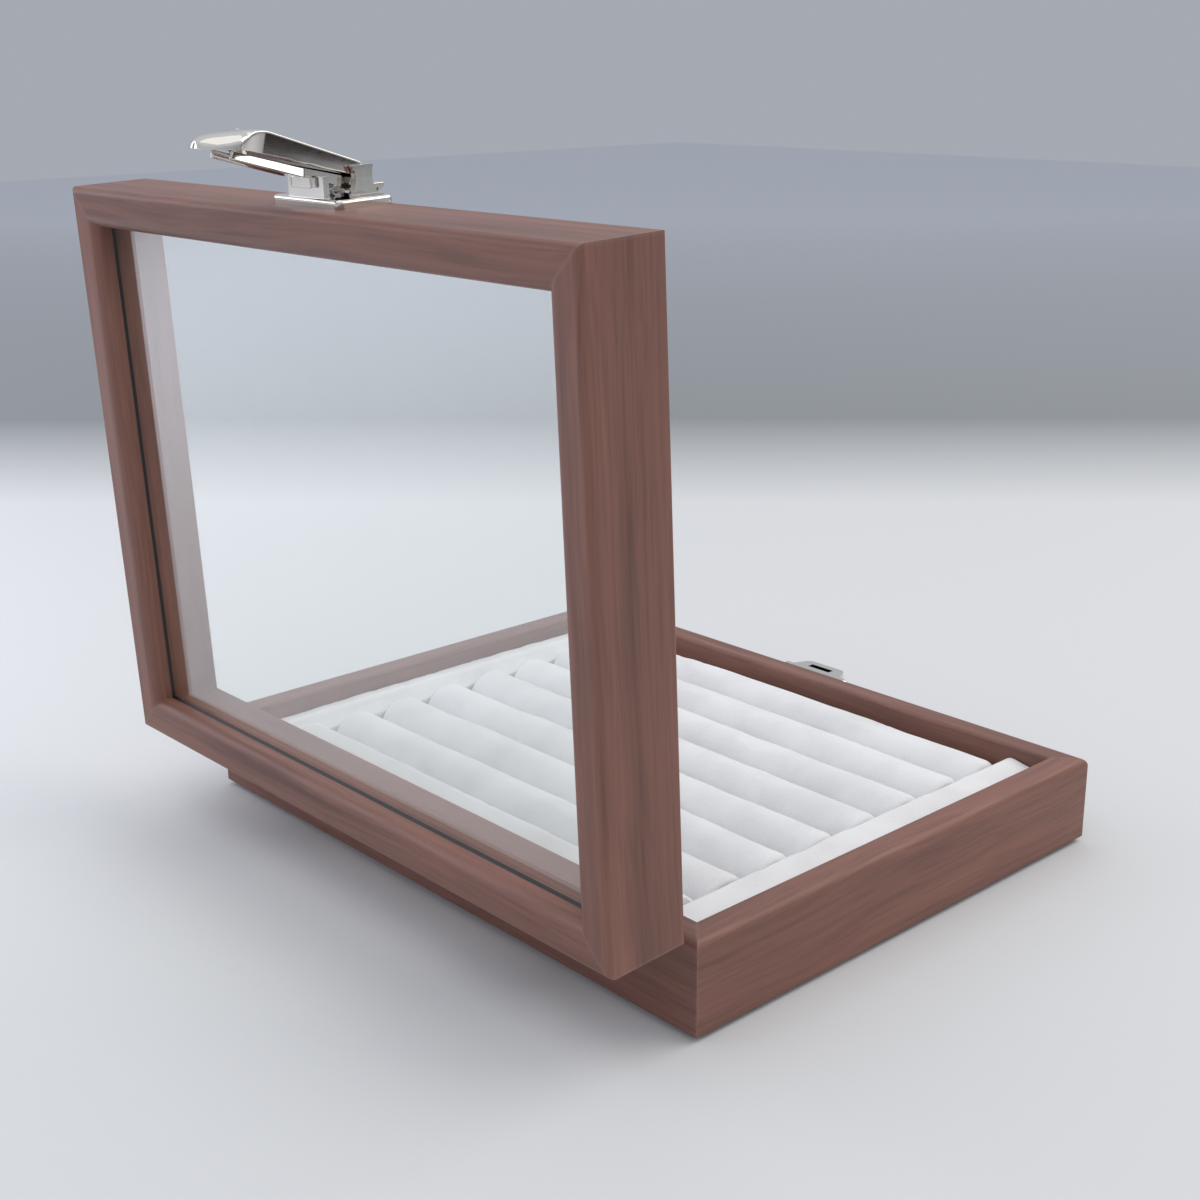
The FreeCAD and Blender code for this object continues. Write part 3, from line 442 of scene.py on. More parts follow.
def loft(rings: np.ndarray) -> tuple[np.ndarray, list]:
    """Skin a stack of closed rings, with a pole in the middle of each end.

    Args:
        rings: array of ring, point and XYZ.

    Returns:
        The vertices and the faces.
    """
    count, around, _ = rings.shape
    poles = np.stack([rings[0].mean(0), rings[-1].mean(0)])
    return np.concatenate([rings.reshape(-1, 3), poles]), loft_faces(count, around)


def soft_noise(points: np.ndarray, length: float, seed: int, waves: int = 9) -> np.ndarray:
    """Smooth bumps from a few plane waves: the mean of sin(k . p + c) over seeded directions k.

    Args:
        points: array whose last axis is X, Y, Z.
        length: the usual distance between bumps, in metres.
        seed: the draw of directions and phases.
        waves: how many waves are added.

    Returns:
        A value near -1 to 1 for each point.
    """
    draw = np.random.default_rng(seed)
    directions = draw.normal(size=(waves, 3))
    directions *= (2 * math.pi / length) * draw.uniform(0.6, 1.4, (waves, 1)) / np.linalg.norm(
        directions, axis=1, keepdims=True)
    phases = draw.uniform(0, 2 * math.pi, waves)
    return np.sin(points @ directions.T + phases).sum(-1) / math.sqrt(waves)


def end_round(place: np.ndarray, half: float, radius: float) -> np.ndarray:
    """How far a rounded end draws in: e - sqrt(e^2 - d^2), where d is the depth into the last e.

    Args:
        place: places along the bar, from -half to half.
        half: half the bar's length.
        radius: the end's rounding e.

    Returns:
        The inset at each place.
    """
    deep = np.clip(np.abs(place) - (half - radius), 0, radius)
    return radius - np.sqrt(np.maximum(radius ** 2 - deep ** 2, 0))


@dataclass(frozen=True)
class PaddedCloth:
    """A short cloth simulation that swells a glued velvet cover over its foam core.

    The cover is a little larger than the core, is held where it is glued at its foot, and is blown out by
    the foam's pressure for a few frames. How far a point may go is capped, because the foam is firm.
    """

    pressure: float = 4.0
    frames: int = 20
    slack: float = 0.02
    cap: float = 0.22 * MM
    glued: float = 0.8 * MM

    def settle(self, piece: bpy.types.Object, low: np.ndarray, high: np.ndarray) -> None:
        """Run the simulation on a copy of a piece and move the piece's points by the capped result.

        Args:
            piece: the padded piece.
            low: the lowest corner that it may reach.
            high: the highest corner that it may reach.
        """
        start = mesh_points(piece.data)
        cover = bpy.data.objects.new(piece.name + "_cover", piece.data.copy())
        bpy.context.scene.collection.objects.link(cover)
        foot = np.flatnonzero(start[:, 2] < SIZES.soft_floor + self.glued)
        cover.vertex_groups.new(name="glued").add(foot.tolist(), 1.0, "REPLACE")
        cloth = cover.modifiers.new("cloth", "CLOTH")
        cloth.settings.vertex_group_mass = "glued"
        cloth.settings.use_pressure = True
        cloth.settings.uniform_pressure_force = self.pressure
        cloth.settings.shrink_min = -self.slack
        cloth.settings.effector_weights.gravity = 0.0
        cloth.settings.quality = 3
        cloth.collision_settings.use_collision = False
        scene = bpy.context.scene
        for frame_number in range(1, self.frames + 1):
            scene.frame_set(frame_number)
        settled = cover.evaluated_get(bpy.context.evaluated_depsgraph_get())
        move = mesh_points(settled.data) - start
        far = np.linalg.norm(move, axis=1, keepdims=True)
        moved = np.clip(start + move * self.cap / (self.cap + far), low, high)
        scene.frame_set(1)
        bpy.data.objects.remove(cover)
        piece.data.vertices.foreach_set("co", moved.ravel())
        piece.data.update()
        LOG.info("%s settled, moved by up to %.2f mm", piece.name, np.abs(moved - start).max() / MM)


def mesh_points(mesh: bpy.types.Mesh) -> np.ndarray:
    """The mesh's points, as an N by 3 array."""
    points = np.empty(len(mesh.vertices) * 3)
    mesh.vertices.foreach_get("co", points)
    return points.reshape(-1, 3)


@dataclass
class VelvetTray:
    """The white velvet tray: seven ring rolls side by side and a padded border on three sides."""

    velvet: bpy.types.Material
    roll_count: int = 7
    roll_radius: float = 8.5 * MM
    roll_pitch: float = 17.3 * MM
    roll_foot: float = 0.4 * MM
    roll_end: float = 2.0 * MM
    border_width: float = 14 * MM
    border_crown: float = 17.0 * MM
    far_crown: tuple[float, float] = (4.6 * MM, 4.2 * MM)
    near_crown: tuple[float, float] = (2.6 * MM, 2.4 * MM)
    around: int = 96
    pieces: list = field(default_factory=list)

    def build(self) -> list:
        """Make every roll and border of the tray."""
        for index in range(self.roll_count):
            self.pieces.append(self.roll(index))
        for name, sign in (("left", -1), ("right", 1)):
            self.pieces.append(self.side_border(name, sign))
        self.pieces.append(self.back_border())
        return self.pieces

    def soft_piece(self, name: str, vertices: np.ndarray, faces: list, node: str,
                   fill: float) -> bpy.types.Object:
        """Make one padded piece that stands for its solid.

        Args:
            name: the piece's name.
            vertices: its points.
            faces: its faces.
            node: the solid that it replaces.
            fill: how tightly it is stuffed; not used.

        Returns:
            The piece.
        """
        piece = solid_piece(name, vertices, faces, self.velvet, "base", "white_velvet")
        low, high = (np.array(corner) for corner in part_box(node))
        PaddedCloth().settle(piece, low, high)
        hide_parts(node)
        return piece

    def roll(self, index: int) -> bpy.types.Object:
        """One ring roll: a circle of radius r(x) carried along X, flattened at its foot.

        Args:
            index: the roll's number from the clasp side, from 0.

        Returns:
            The roll.
        """
        half = SIZES.inner_half_width - self.border_width - 2 * SIZES.soft_gap
        centre_y = -SIZES.inner_half_depth + SIZES.soft_gap + self.roll_radius + index * self.roll_pitch
        centre_z = SIZES.soft_floor + self.roll_radius - self.roll_foot
        middle = np.linspace(-half + self.roll_end, half - self.roll_end, 90)
        tip = half - self.roll_end + self.roll_end * np.sin(np.linspace(0, math.pi / 2, 14))[1:]
        along = np.concatenate([-tip[::-1], middle, tip])
        turn = np.linspace(0, 2 * math.pi, self.around, endpoint=False)
        inset = end_round(along, half, self.roll_end)
        x, angle = np.meshgrid(along, turn, indexing="ij")
        radius = self.roll_radius - inset[:, None] - 0.1 * MM
        points = np.stack([x, np.cos(angle) * radius, np.sin(angle) * radius], -1)
        swell = soft_noise(points + [0, index * 0.1, 0], 26 * MM, 11 + index) * 0.10 * MM
        swell += soft_noise(points + [0, index * 0.1, 0], 8 * MM, 31 + index) * 0.03 * MM
        grown = (radius + np.minimum(swell, 0.1 * MM)) / radius
        points[..., 1:] *= grown[..., None]
        points += [0, centre_y, centre_z]
        points[..., 2] = np.maximum(points[..., 2], SIZES.soft_floor)
        faces_of = loft(points)
        return self.soft_piece("velvet_roll_%d" % (index + 1), *faces_of, "ring_roll_%d" % (index + 1), 0.85)

    def border_section(self, width: float, crown: tuple[float, float]) -> np.ndarray:
        """The border's section: a crowned pad, lower at the wall, highest inside, round to the rolls.

        Args:
            width: from the wall's side to the rolls' side.
            crown: how far the crown stands from the rolls' side, and how far the pad falls there.

        Returns:
            Points of (distance from the wall's side, height), going round once.
        """
        top = self.border_crown
        corners = [((0, 0), 0.6), ((0, top - 2.2 * MM), 1.8), ((width - crown[0], top), 3.0),
                   ((width, top - crown[1]), 1.2), ((width, 0), 0.6)]
        return rounded_outline(np.array([c for c, _ in corners]), [r * MM for _, r in corners], 9)

    def border_loft(self, section: np.ndarray, half: float, end: float, seed: int) -> np.ndarray:
        """Carry a section along its run, drawing it in towards its middle at both rounded ends.

        Args:
            section: the outline's points.
            half: half the run's length.
            end: the rounding of its ends.
            seed: the draw of its bumps.

        Returns:
            Rings of (run, distance from the wall, height).
        """
        tip = half - end + end * np.sin(np.linspace(0, math.pi / 2, 8))[1:]
        run = np.concatenate([-tip[::-1], np.linspace(-half + end, half - end, 80), tip])
        centre = section.mean(0)
        reach = np.abs(section - centre).max()
        shrink = 1 - end_round(run, half, end) / reach
        outline = centre + (section - centre)[None] * shrink[:, None, None]
        rings = np.concatenate([np.broadcast_to(run[:, None, None], (*outline.shape[:2], 1)), outline], -1)
        bumps = soft_noise(rings, 22 * MM, seed) * 0.10 * MM - 0.12 * MM
        away = rings[..., 1:] - centre
        away /= np.linalg.norm(away, axis=-1, keepdims=True)
        rings[..., 1:] += away * np.minimum(bumps, 0)[..., None]
        rings[..., 2] = np.maximum(rings[..., 2], 0)
        return rings

    def side_border(self, name: str, sign: int) -> bpy.types.Object:
        """The padded border along a side wall, from the front wall to the back wall.

        Args:
            name: left or right.
            sign: -1 on the left, 1 on the right.

        Returns:
            The border.
        """
        half = SIZES.inner_half_depth - SIZES.soft_gap
        crown = self.far_crown if sign > 0 else self.near_crown
        rings = self.border_loft(self.border_section(self.border_width, crown), half, 0.8 * MM, 51 + sign)
        x = sign * (SIZES.inner_half_width - SIZES.soft_gap - rings[..., 1])
        points = np.stack([x, rings[..., 0], rings[..., 2] + SIZES.soft_floor], -1)
        return self.soft_piece("velvet_%s_border" % name, *loft(points), "tray_%s_border" % name, 0.7)

    def back_border(self) -> bpy.types.Object:
        """The padded border along the back wall, between the side borders."""
        room = 2 * SIZES.inner_half_depth - self.roll_count * self.roll_pitch - 3 * SIZES.soft_gap
        half = SIZES.inner_half_width - self.border_width - 2 * SIZES.soft_gap
        rings = self.border_loft(self.border_section(room, self.far_crown), half, 1.2 * MM, 57)
        y = SIZES.inner_half_depth - SIZES.soft_gap - rings[..., 1]
        points = np.stack([rings[..., 0], y, rings[..., 2] + SIZES.soft_floor], -1)
        return self.soft_piece("velvet_back_border", *loft(points), "tray_back_border", 0.7)


def rounded_outline(corners: np.ndarray, radii: list, steps: int) -> np.ndarray:
    """A closed outline with an arc at each corner, tangent to both of the corner's sides.

    Args:
        corners: N by 2 corner points, going round once.
        radii: each corner's radius.
        steps: points on each arc.

    Returns:
        The outline's points.
    """
    points = []
    for here, before, after, radius in zip(corners, np.roll(corners, 1, 0), np.roll(corners, -1, 0), radii):
        to_before = (before - here) / np.linalg.norm(before - here)
        to_after = (after - here) / np.linalg.norm(after - here)
        half_angle = math.acos(np.clip(to_before @ to_after, -1, 1)) / 2
        bisector = (to_before + to_after) / np.linalg.norm(to_before + to_after)
        centre = here + bisector * radius / math.sin(half_angle)
        start = here + to_before * radius / math.tan(half_angle) - centre
        end = here + to_after * radius / math.tan(half_angle) - centre
        sweep = math.atan2(start[0] * end[1] - start[1] * end[0], start @ end)
        turn = np.linspace(0, sweep, steps)
        cosine, sine = np.cos(turn), np.sin(turn)
        points.append(centre + np.stack([start[0] * cosine - start[1] * sine,
                                         start[0] * sine + start[1] * cosine], -1))
    return np.concatenate(points)


@dataclass
class Carcass:
    """The two wrapped frames, the pane, the boards under the tray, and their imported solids' finishes."""

    nodes: dict
    # The black of the pane's edge strip and its size: the strip is painted shade, the shadow line in the gap
    # where the pane meets the lip.
    shadow_strip_black: bpy.types.Material
    shadow_strip: float = 0.7 * MM

    def dress(self, velvet: bpy.types.Material) -> None:
        """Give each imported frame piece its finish.

        Args:
            velvet: the tray's velvet, which also wraps the tray board.
        """
        turn = SIZES.open_angle
        back = -SIZES.opened(np.array([0.0, 0.0, 0.0]))
        cosine, sine = math.cos(turn), math.sin(turn)
        shut_place = (0.0, back[1] * cosine - back[2] * sine, back[1] * sine + back[2] * cosine)
        for frame_name in ("base", "lid"):
            lid = frame_name == "lid"
            for index, side in enumerate(("front", "back", "left", "right")):
                finish = WalnutFoil(
                    "walnut_foil_%s_%s" % (frame_name, side),
                    Grain.ALONG_X if side in ("front", "back") else Grain.ALONG_Y,
                    turn if lid else 0.0, shut_place if lid else (0.0, 0.0, 0.0),
                    0.37 * index + (0.11 if lid else 0.0))
                self.coat("%s_%s_rail" % (frame_name, side), finish.build())
        self.coat("glass_pane", ClearPane().build())
        self.coat("bottom_board", PlainSheet(
            "black_board", "#141213", "#221f1f", 0.8 * MM, 0.6, 0.03 * MM).build())
        self.coat("bottom_felt", PlainSheet(
            "black_felt", "#0e0e10", "#1b1b1e", 0.5 * MM, 0.95, 0.1 * MM).build())
        self.coat("tray_board", velvet)

    def pane_shadow_strip(self) -> bpy.types.Object:
        """A thin black strip between the lip's inner side and the pane, all round the opening: painted shade,
        standing for the shadow line in the gap where the pane meets the lip.
        """
        size = self.shadow_strip
        section = np.array([(0, 0), (0, size), (size * 0.45, size * 0.45), (size, 0)])
        half = np.array([SIZES.sight_half_width, SIZES.sight_half_depth])
        turn = np.array([(-1, -1), (1, -1), (1, 1), (-1, 1)])
        inset, rise = section[:, 0], section[:, 1]
        plan = turn[:, None] * (half[None, None] - (inset - 0.05 * MM)[None, :, None])
        level = np.broadcast_to(SIZES.lip_under + 0.02 * MM + rise[None, :, None], (4, len(section), 1))
        rings = SIZES.opened(np.concatenate([plan, level], -1))
        count = len(section)
        grid = np.arange(4 * count).reshape(4, count)
        faces = np.stack([grid, np.roll(grid, -1, 1), np.roll(np.roll(grid, -1, 0), -1, 1),
                          np.roll(grid, -1, 0)], -1).reshape(-1, 4).tolist()
        shadow_strip = solid_piece("pane_painted_shadow_strip", rings.reshape(-1, 3), faces, self.shadow_strip_black, "lid", "black_board")
        shadow_strip.data.polygons.foreach_set("use_smooth", np.zeros(len(shadow_strip.data.polygons), bool))
        return shadow_strip

    def coat(self, node: str, material: bpy.types.Material) -> None:
        """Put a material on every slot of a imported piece."""
        mesh = self.nodes[node].data
        if not mesh.materials:
            mesh.materials.append(material)
        for slot in range(len(mesh.materials)):
            mesh.materials[slot] = material


@dataclass
class Hardware:
    """The plated hinges, catch and clasp."""

    nodes: dict
    carcass: Carcass

    def dress(self) -> None:
        """Plate every packed metal piece, soften its stamped edges, and make the pressed lever."""
        plate = PlatedSteel("bright_nickel_plate").build()
        spring = PlatedSteel("spring_steel", "#b9bbbe", 0.22).build()
        screw = PlatedSteel("plated_screw_steel", "#c9c3ba", 0.18).build()
        for name in self.nodes:
            if not name.startswith(("hinge", "clasp", "catch")):
                continue
            material = spring if name == "clasp_spring" else screw if name.endswith("screws") else plate
            self.carcass.coat(name, material)
            if name != "clasp_lever":
                self.soften(self.nodes[name], 0.12 * MM if name.endswith("screws") else 0.2 * MM)
        ClaspLever(plate).build()

    def soften(self, piece: bpy.types.Object, radius: float) -> None:
        """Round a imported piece's sharp edges a little, as tumbling and plating leave them.

        Args:
            piece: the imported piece.
            radius: the width of the rounding.
        """
        piece.modifiers.new("joined_faces", "WELD").merge_threshold = 0.002 * MM
        bevel = piece.modifiers.new("worn_edges", "BEVEL")
        bevel.width = radius
        bevel.segments = 2
        bevel.limit_method = "ANGLE"
        bevel.angle_limit = math.radians(40)
        bevel.use_clamp_overlap = True
        piece.modifiers.new("even_shine", "WEIGHTED_NORMAL").keep_sharp = True


@dataclass
class ClaspLever:
    """The clasp's pressed lever: a channel arm on the pin that flares into a drooping thumb pad.

    A place on it is worked out as (x, u, n): x across, u along the arm from the pin, and n off the arm
    towards the hand, with the arm leaning out from the lid's front face by the rise.
    """

    plate: bpy.types.Material
    pin: tuple[float, float] = (-83.05 * MM, 28.9 * MM)
    rise: float = math.radians(20)
    gauge: float = 0.8
    arm_half: float = 5.2
    pad_half: float = 7.0
    flare: tuple[float, float] = (25.2, 31.3)
    nose: float = 7.4
    crest: tuple = ((-1.5, 1.3), (-0.7, 2.6), (0.2, 2.9), (25.0, 2.9), (28.0, 2.25), (30.9, 1.1),
                    (34.0, -0.1), (36.8, -1.5), (38.3, -2.7), (39.1, -3.8))
    shoulder: tuple = ((-1.5, 0.9), (0.2, 2.1), (25.2, 2.2), (28.6, 0.6), (31.3, -2.2), (36.8, -4.0),
                       (39.1, -4.4))
    skirt: tuple = ((-1.5, -0.6), (4.0, -0.7), (9.0, -1.15), (12.8, -1.2), (15.0, -1.7), (18.5, -1.75), (31.0, -2.9), (36.8, -4.6),
                    (39.1, -5.0))
    dimple: tuple[float, float] = (3.3, 27.3)
    across: int = 61

    def build(self) -> bpy.types.Object:
        """Make the lever: section rings along u, each an outer skin and the same skin drawn in by the gauge.

        The outer skin is n(x) = e + (c - e) (1 - |x / w|^p)^(1 / p) over the half width w, from the crest c
        down to the shoulder e, with a skirt below it; p falls from 8 on the arm to 2.2 on the pad. Past
        the flare the half width follows a half ellipse.
        """
        start, end = self.flare
        tip = end + self.nose * np.sin(np.linspace(0, math.radians(86), 26))[1:]
        along = np.concatenate([np.linspace(-1.5, 0.5, 11), np.linspace(1.5, 21.5, 12),
                                np.linspace(22, end, 42), tip])
        flared = self.arm_half + (self.pad_half - self.arm_half) * np.clip(
            (along - start) / (end - start), 0, 1) ** 1.7
        nosed = np.sqrt(1 - np.clip((along - end) / self.nose, 0, 1) ** 2)
        half = flared * nosed
        crest, shoulder, skirt = (self.flowing(along, stops) for stops in (self.crest, self.shoulder, self.skirt))
        power = np.interp(along, (26, 30, 34), (8, 3.2, 2.2))
        outer = self.skin(along, half, crest, shoulder, skirt, power)
        drawn_in = np.minimum(self.gauge, half * 0.6)
        inner_crest = np.maximum(crest - self.gauge, skirt + 0.1)
        inner = self.skin(along, half - drawn_in, inner_crest, np.minimum(shoulder, inner_crest - 0.02),
                          skirt, power)
        rings = np.concatenate([outer, inner[:, ::-1]], 1) * MM
        shut = self.shut_place(*np.moveaxis(rings, -1, 0))
        count, ring = shut.shape[:2]
        grid = np.arange(count * ring).reshape(count, ring)
        walls = np.stack([grid[:-1], np.roll(grid[:-1], -1, 1), np.roll(grid[1:], -1, 1), grid[1:]], -1)
        strip = np.arange(ring // 2 - 1)
        caps = [np.stack([row[strip], row[strip + 1], row[ring - 2 - strip], row[ring - 1 - strip]], -1)
                for row in (grid[0], grid[-1])]
        faces = np.concatenate([walls.reshape(-1, 4), *caps]).tolist()
        lever = solid_piece("clasp_pressed_lever", SIZES.opened(shut).reshape(-1, 3), faces, self.plate,
                            "lever", "nickel_plate")
        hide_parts("clasp_lever")
        self.bar_flanges()
        self.stop_tab()
        return lever

    def shut_place(self, x: np.ndarray, along: np.ndarray, off: np.ndarray) -> np.ndarray:
        """The shut box's place of (x, u, n): y = py - (u sin r + n cos r), z = pz + u cos r - n sin r."""
        sine, cosine = math.sin(self.rise), math.cos(self.rise)
        return np.stack([x, self.pin[0] - (along * sine + off * cosine),
                         self.pin[1] + along * cosine - off * sine], -1)

    def bar_flanges(self) -> None:
        """The claw bar's two turned-out flanges: a thin wedge section carried along the bar."""
        along = np.linspace(13.2, 32.0, 40)
        top = np.interp(along, (13.2, 32), (-2.4, -3.5))
        bottom = np.interp(along, (13.2, 32), (-4.4, -5.2))
        drawn = np.minimum(1, np.minimum(along - 12.9, 32.3 - along) / 0.8)
        for name, side in (("left", -1), ("right", 1)):
            reach = np.array([0, 0.92, 1.0, 1.05, 1.55, 1.6, 1.5, 0])
            share = np.array([0, 0, 0.03, 0.1, 0.88, 0.94, 1, 1])
            out = 3.52 + drawn[:, None] * reach
            off = top[:, None] + (bottom - top)[:, None] * share
            place = self.shut_place(side * out * MM, np.broadcast_to(along[:, None], out.shape) * MM, off * MM)
            solid_piece("clasp_bar_flange_%s" % name, *loft(SIZES.opened(place)), self.plate, "lever",
                        "nickel_plate")

    def stop_tab(self) -> None:
        """The claw bar's stop tab: a rounded oblong plate that hangs from the bar over the wall's notch."""
        half, low, high, thick = 3.9, -80.9, -83.3, 0.35
        outline = rounded_outline(np.array([(-half, low), (half, low), (half, high), (-half, high)]),
                                  [0.5, 0.5, 0.2, 0.2], 7)
        centre = outline.mean(0)
        rings = []
        for level, drawn in ((0, 0.4), (0, 0.1), (0.1, 0), (thick - 0.1, 0), (thick, 0.1), (thick, 0.4)):
            flat = centre + (outline - centre) * (1 - drawn / half)
            rings.append(np.concatenate([flat, np.full((len(flat), 1), 40.75 + level)], -1))
        solid_piece("clasp_stop_tab", *loft(SIZES.opened(np.array(rings) * MM)), self.plate, "lever",
                    "nickel_plate")

    def flowing(self, along: np.ndarray, stops: tuple, soft: float = 0.9) -> np.ndarray:
        """A line through stops whose corners are eased by a running mean.

        Args:
            along: places along the arm.
            stops: pairs of place and value.
            soft: how far the running mean reaches to each side.

        Returns:
            The value at each place.
        """
        places, values = zip(*stops)
        ends = np.clip(along - places[0], 0, None), np.clip(places[-1] - along, 0, None)
        reach = np.minimum(soft, np.minimum(*ends))
        return np.interp(along[:, None] + reach[:, None] * np.linspace(-1, 1, 9), places, values).mean(-1)

    def skin(self, along: np.ndarray, half: np.ndarray, crest: np.ndarray, shoulder: np.ndarray,
             skirt: np.ndarray, power: np.ndarray) -> np.ndarray:
        """One skin's section at each place, from one skirt's edge over the crest to the other's.

        Args:
            along: places along the arm.
            half: half widths.
            crest: heights of the middle.
            shoulder: heights where the skirts start.
            skirt: heights of the skirts' edges.
            power: how square each section is.

        Returns:
            Array of place, point and (x, u, n).
        """
        share = np.sin(np.linspace(-1, 1, self.across) * math.pi / 2)
        x = half[:, None] * share
        rise = (1 - np.abs(share) ** power[:, None]) ** (1 / power[:, None])
        n = shoulder[:, None] + (crest - shoulder)[:, None] * rise
        for side in (-1, 1):
            away = ((x - side * self.dimple[0]) / 1.0) ** 2 + ((along[:, None] - self.dimple[1]) / 0.8) ** 2
            n = n - 0.3 * np.exp(-away * 1.5)
        deep = np.maximum(shoulder - skirt, 0.05)
        side_x = np.stack([half - 0.15, half - 0.04, half, half, half, half], -1)
        side_n = skirt[:, None] + np.minimum(np.array([0, 0.04, 0.15, 0.3, 0.8, 1.2]), deep[:, None]
                                             * np.array([0, 0.1, 0.2, 0.35, 0.6, 0.85]))
        x = np.concatenate([-side_x, x, side_x[:, ::-1]], 1)
        n = np.concatenate([side_n, n, side_n[:, ::-1]], 1)
        return np.stack([x, np.broadcast_to(along[:, None], x.shape), n], -1)


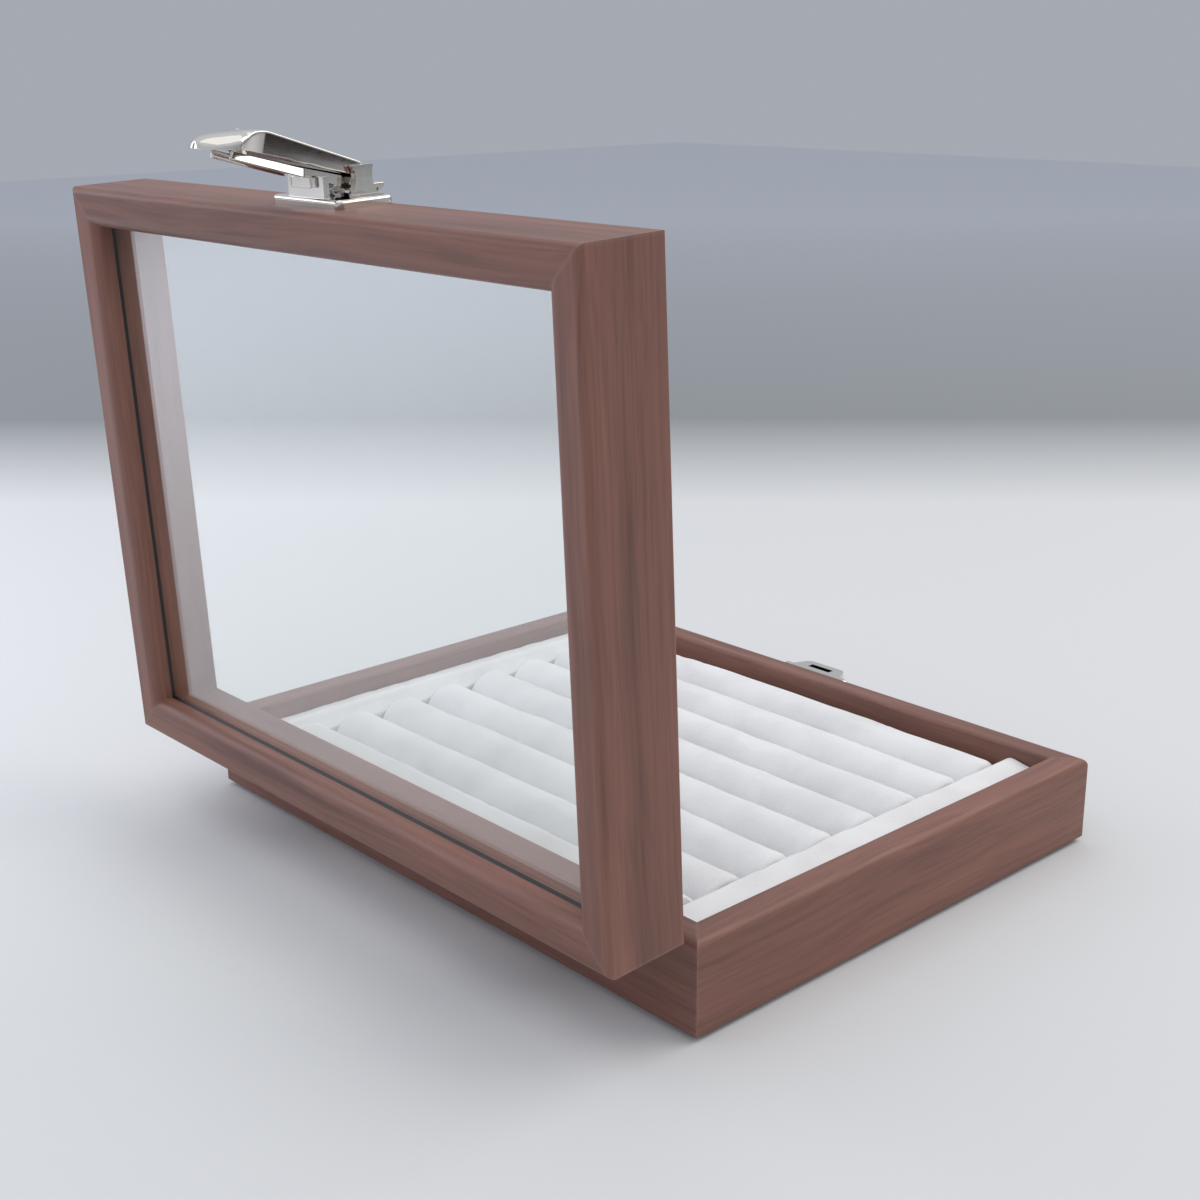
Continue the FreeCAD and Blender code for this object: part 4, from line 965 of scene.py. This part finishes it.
@dataclass(frozen=True)
class Studio:
    """The pale floor, the soft lamps and the camera at the photograph's angle."""

    near_colour: str = "#d2d3d4"
    # Painted shade: the darker band where the pale floor goes over to the grey-blue, as at the foot of a wall.
    painted_foot_shade_colour: str = "#888c8f"
    far_colour: str = "#b2b6be"
    far_from: float = 0.36
    far_to: float = 1.8
    low_sky: str = "#a7abb4"
    high_sky: str = "#e1e5ec"
    sky_strength: float = 0.98
    dark_towards: tuple[float, float, float] = (-0.834, -0.549, -0.056)
    camera_place: tuple[float, float, float] = (-0.3395856, 0.3223187, 0.2134633)
    camera_right: tuple[float, float, float] = (-0.67382, -0.73886, -0.00744)
    camera_down: tuple[float, float, float] = (-0.21900, 0.20931, -0.95301)
    focal_pixels: float = 1745.6
    frame_pixels: float = 1200.0
    sensor: float = 36.0

    def build(self) -> None:
        """Set up the floor, lamps, sky and camera."""
        self.floor()
        self.lamp("window", (-0.55, -0.75, 0.95), (0, 0, 0.03), (1.1, 0.9), 6.3, "#fff8ee")
        self.lamp("ceiling", (0.0, 0.3, 1.2), (0.0, 0.3, 0), (1.4, 1.2), 2.6, "#fffdf8")
        self.lamp("bounce", (0.75, 0.62, 0.32), (0.75, 0.62, 0), (1.0, 0.85), 5.0, "#eef2ff")
        self.sky()
        self.camera()
        bpy.context.scene.view_settings.view_transform = "Standard"

    def floor(self) -> None:
        """A wide plain floor of fine pale plaster, which goes over to grey-blue behind the box through a darker
        band of painted shade, like the shade at the foot of a wall.
        """
        reach = 2.6
        corners = np.array([[-1, -1, 0], [1, -1, 0], [1, 1, 0], [-1, 1, 0]]) * reach
        mesh = bpy.data.meshes.new("floor")
        mesh.from_pydata(corners.tolist(), [], [(0, 1, 2, 3)])
        floor = bpy.data.objects.new("floor", mesh)
        bpy.context.scene.collection.objects.link(floor)
        material, tree = blank_material("pale_plaster")
        place = add_node(tree, "ShaderNodeTexCoord").outputs["Object"]
        away = add_node(tree, "ShaderNodeVectorMath", {"operation": "DOT_PRODUCT", 1: (0.72, -0.69, 0)},
                        {0: place})
        share = add_node(tree, "ShaderNodeMapRange", {
            "From Min": self.far_from, "From Max": self.far_to}, {"Value": away.outputs["Value"]})
        # The darker step at 0.14 is painted shade at the foot of the grey-blue, between the pale floor and the
        # grey-blue further off.
        colour = colour_steps(tree, share.outputs[0], [
            (0.0, self.near_colour), (0.14, self.painted_foot_shade_colour), (1.0, self.far_colour)])
        grit = add_node(tree, "ShaderNodeTexNoise", {"Scale": 1 / (2 * MM), "Detail": 2.0}, {"Vector": place})
        bump = add_node(tree, "ShaderNodeBump", {"Strength": 0.2, "Distance": 0.02 * MM},
                        {"Height": grit.outputs["Fac"]})
        shader = add_node(tree, "ShaderNodeBsdfPrincipled", {"Roughness": 0.75},
                          {"Base Color": colour, "Normal": bump.outputs[0]})
        add_node(tree, "ShaderNodeOutputMaterial", links={"Surface": shader.outputs[0]})
        mesh.materials.append(material)

    def lamp(self, name: str, place: tuple, target: tuple, size: tuple, power: float, colour: str) -> None:
        """One soft rectangular lamp aimed at a point.

        Args:
            name: the lamp's name.
            place: where it hangs.
            target: what it points at.
            size: its width and height.
            power: its power in watts.
            colour: its hex colour.
        """
        data = bpy.data.lights.new(name, "AREA")
        data.shape = "RECTANGLE"
        data.size, data.size_y = size
        data.energy = power
        data.color = linear(colour)[:3]
        lamp = bpy.data.objects.new(name, data)
        lamp.location = place
        aim = Vector(target) - Vector(place)
        lamp.rotation_euler = aim.to_track_quat("-Z", "Y").to_euler()
        bpy.context.scene.collection.objects.link(lamp)

    def sky(self) -> None:
        """An even room light, with a dark doorway low on the clasp's side for the metal to reflect."""
        world = bpy.data.worlds.new("room")
        world.use_nodes = True
        tree = world.node_tree
        look = add_node(tree, "ShaderNodeTexCoord").outputs["Generated"]
        towards = add_node(tree, "ShaderNodeVectorMath", {"operation": "DOT_PRODUCT", 1: self.dark_towards},
                           {0: look})
        share = add_node(tree, "ShaderNodeMapRange", {
            "interpolation_type": "SMOOTHSTEP", "From Min": math.cos(math.radians(8)),
            "From Max": math.cos(math.radians(4)), "To Min": 0.0, "To Max": 1.0},
            {"Value": towards.outputs["Value"]})
        level = add_node(tree, "ShaderNodeSeparateXYZ", links={"Vector": look})
        height = add_node(tree, "ShaderNodeMapRange", {"From Min": 0.0, "From Max": 0.6},
                          {"Value": level.outputs["Z"]})
        room = colour_steps(tree, height.outputs[0], [(0.05, self.low_sky), (1.0, self.high_sky)])
        mixed = add_node(tree, "ShaderNodeMix", {"data_type": "RGBA", 7: linear("#2a2320")},
                         {"Factor": share.outputs[0], 6: room})
        shade = tree.nodes["Background"]
        tree.links.new(mixed.outputs[2], shade.inputs["Color"])
        shade.inputs["Strength"].default_value = self.sky_strength
        bpy.context.scene.world = world

    def camera(self) -> None:
        """The camera, from the place and axes that a fit to the photographed corners gives."""
        right, down = np.array(self.camera_right), np.array(self.camera_down)
        right /= np.linalg.norm(right)
        down -= right * (down @ right)
        down /= np.linalg.norm(down)
        back = -np.cross(right, down)
        turn = np.stack([right, -down, back], 1)
        data = bpy.data.cameras.new("camera")
        data.sensor_width = self.sensor
        data.lens = self.focal_pixels * self.sensor / self.frame_pixels
        data.clip_start, data.clip_end = 0.01, 50.0
        camera = bpy.data.objects.new("camera", data)
        camera.matrix_world = Matrix([[*turn[row], self.camera_place[row]] for row in range(3)]
                                        + [[0, 0, 0, 1]])
        bpy.context.scene.collection.objects.link(camera)
        bpy.context.scene.camera = camera


def main() -> None:
    logging.basicConfig(level=logging.INFO, format="%(name)s: %(message)s")
    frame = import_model()
    Studio().build()
    velvet = VelvetPile("white_velvet_pile").build()
    # The black sheet for the pane's edge strip, which is painted shade: the shadow line where the pane meets the
    # lip.
    carcass = Carcass(frame["nodes"], PlainSheet("painted_shadow_strip_black", "#060606", "#0c0b0b", 1 * MM, 0.5,
                                                 0.01 * MM).build())
    carcass.dress(velvet)
    carcass.pane_shadow_strip()
    LOG.info("frames, pane and boards dressed")
    for piece in VelvetTray(velvet).build():
        LOG.info("%s: %d faces", piece.name, len(piece.data.polygons))
    Hardware(frame["nodes"], carcass).dress()
    LOG.info("hinges, catch and clasp plated")


if __name__ == "__main__":
    main()
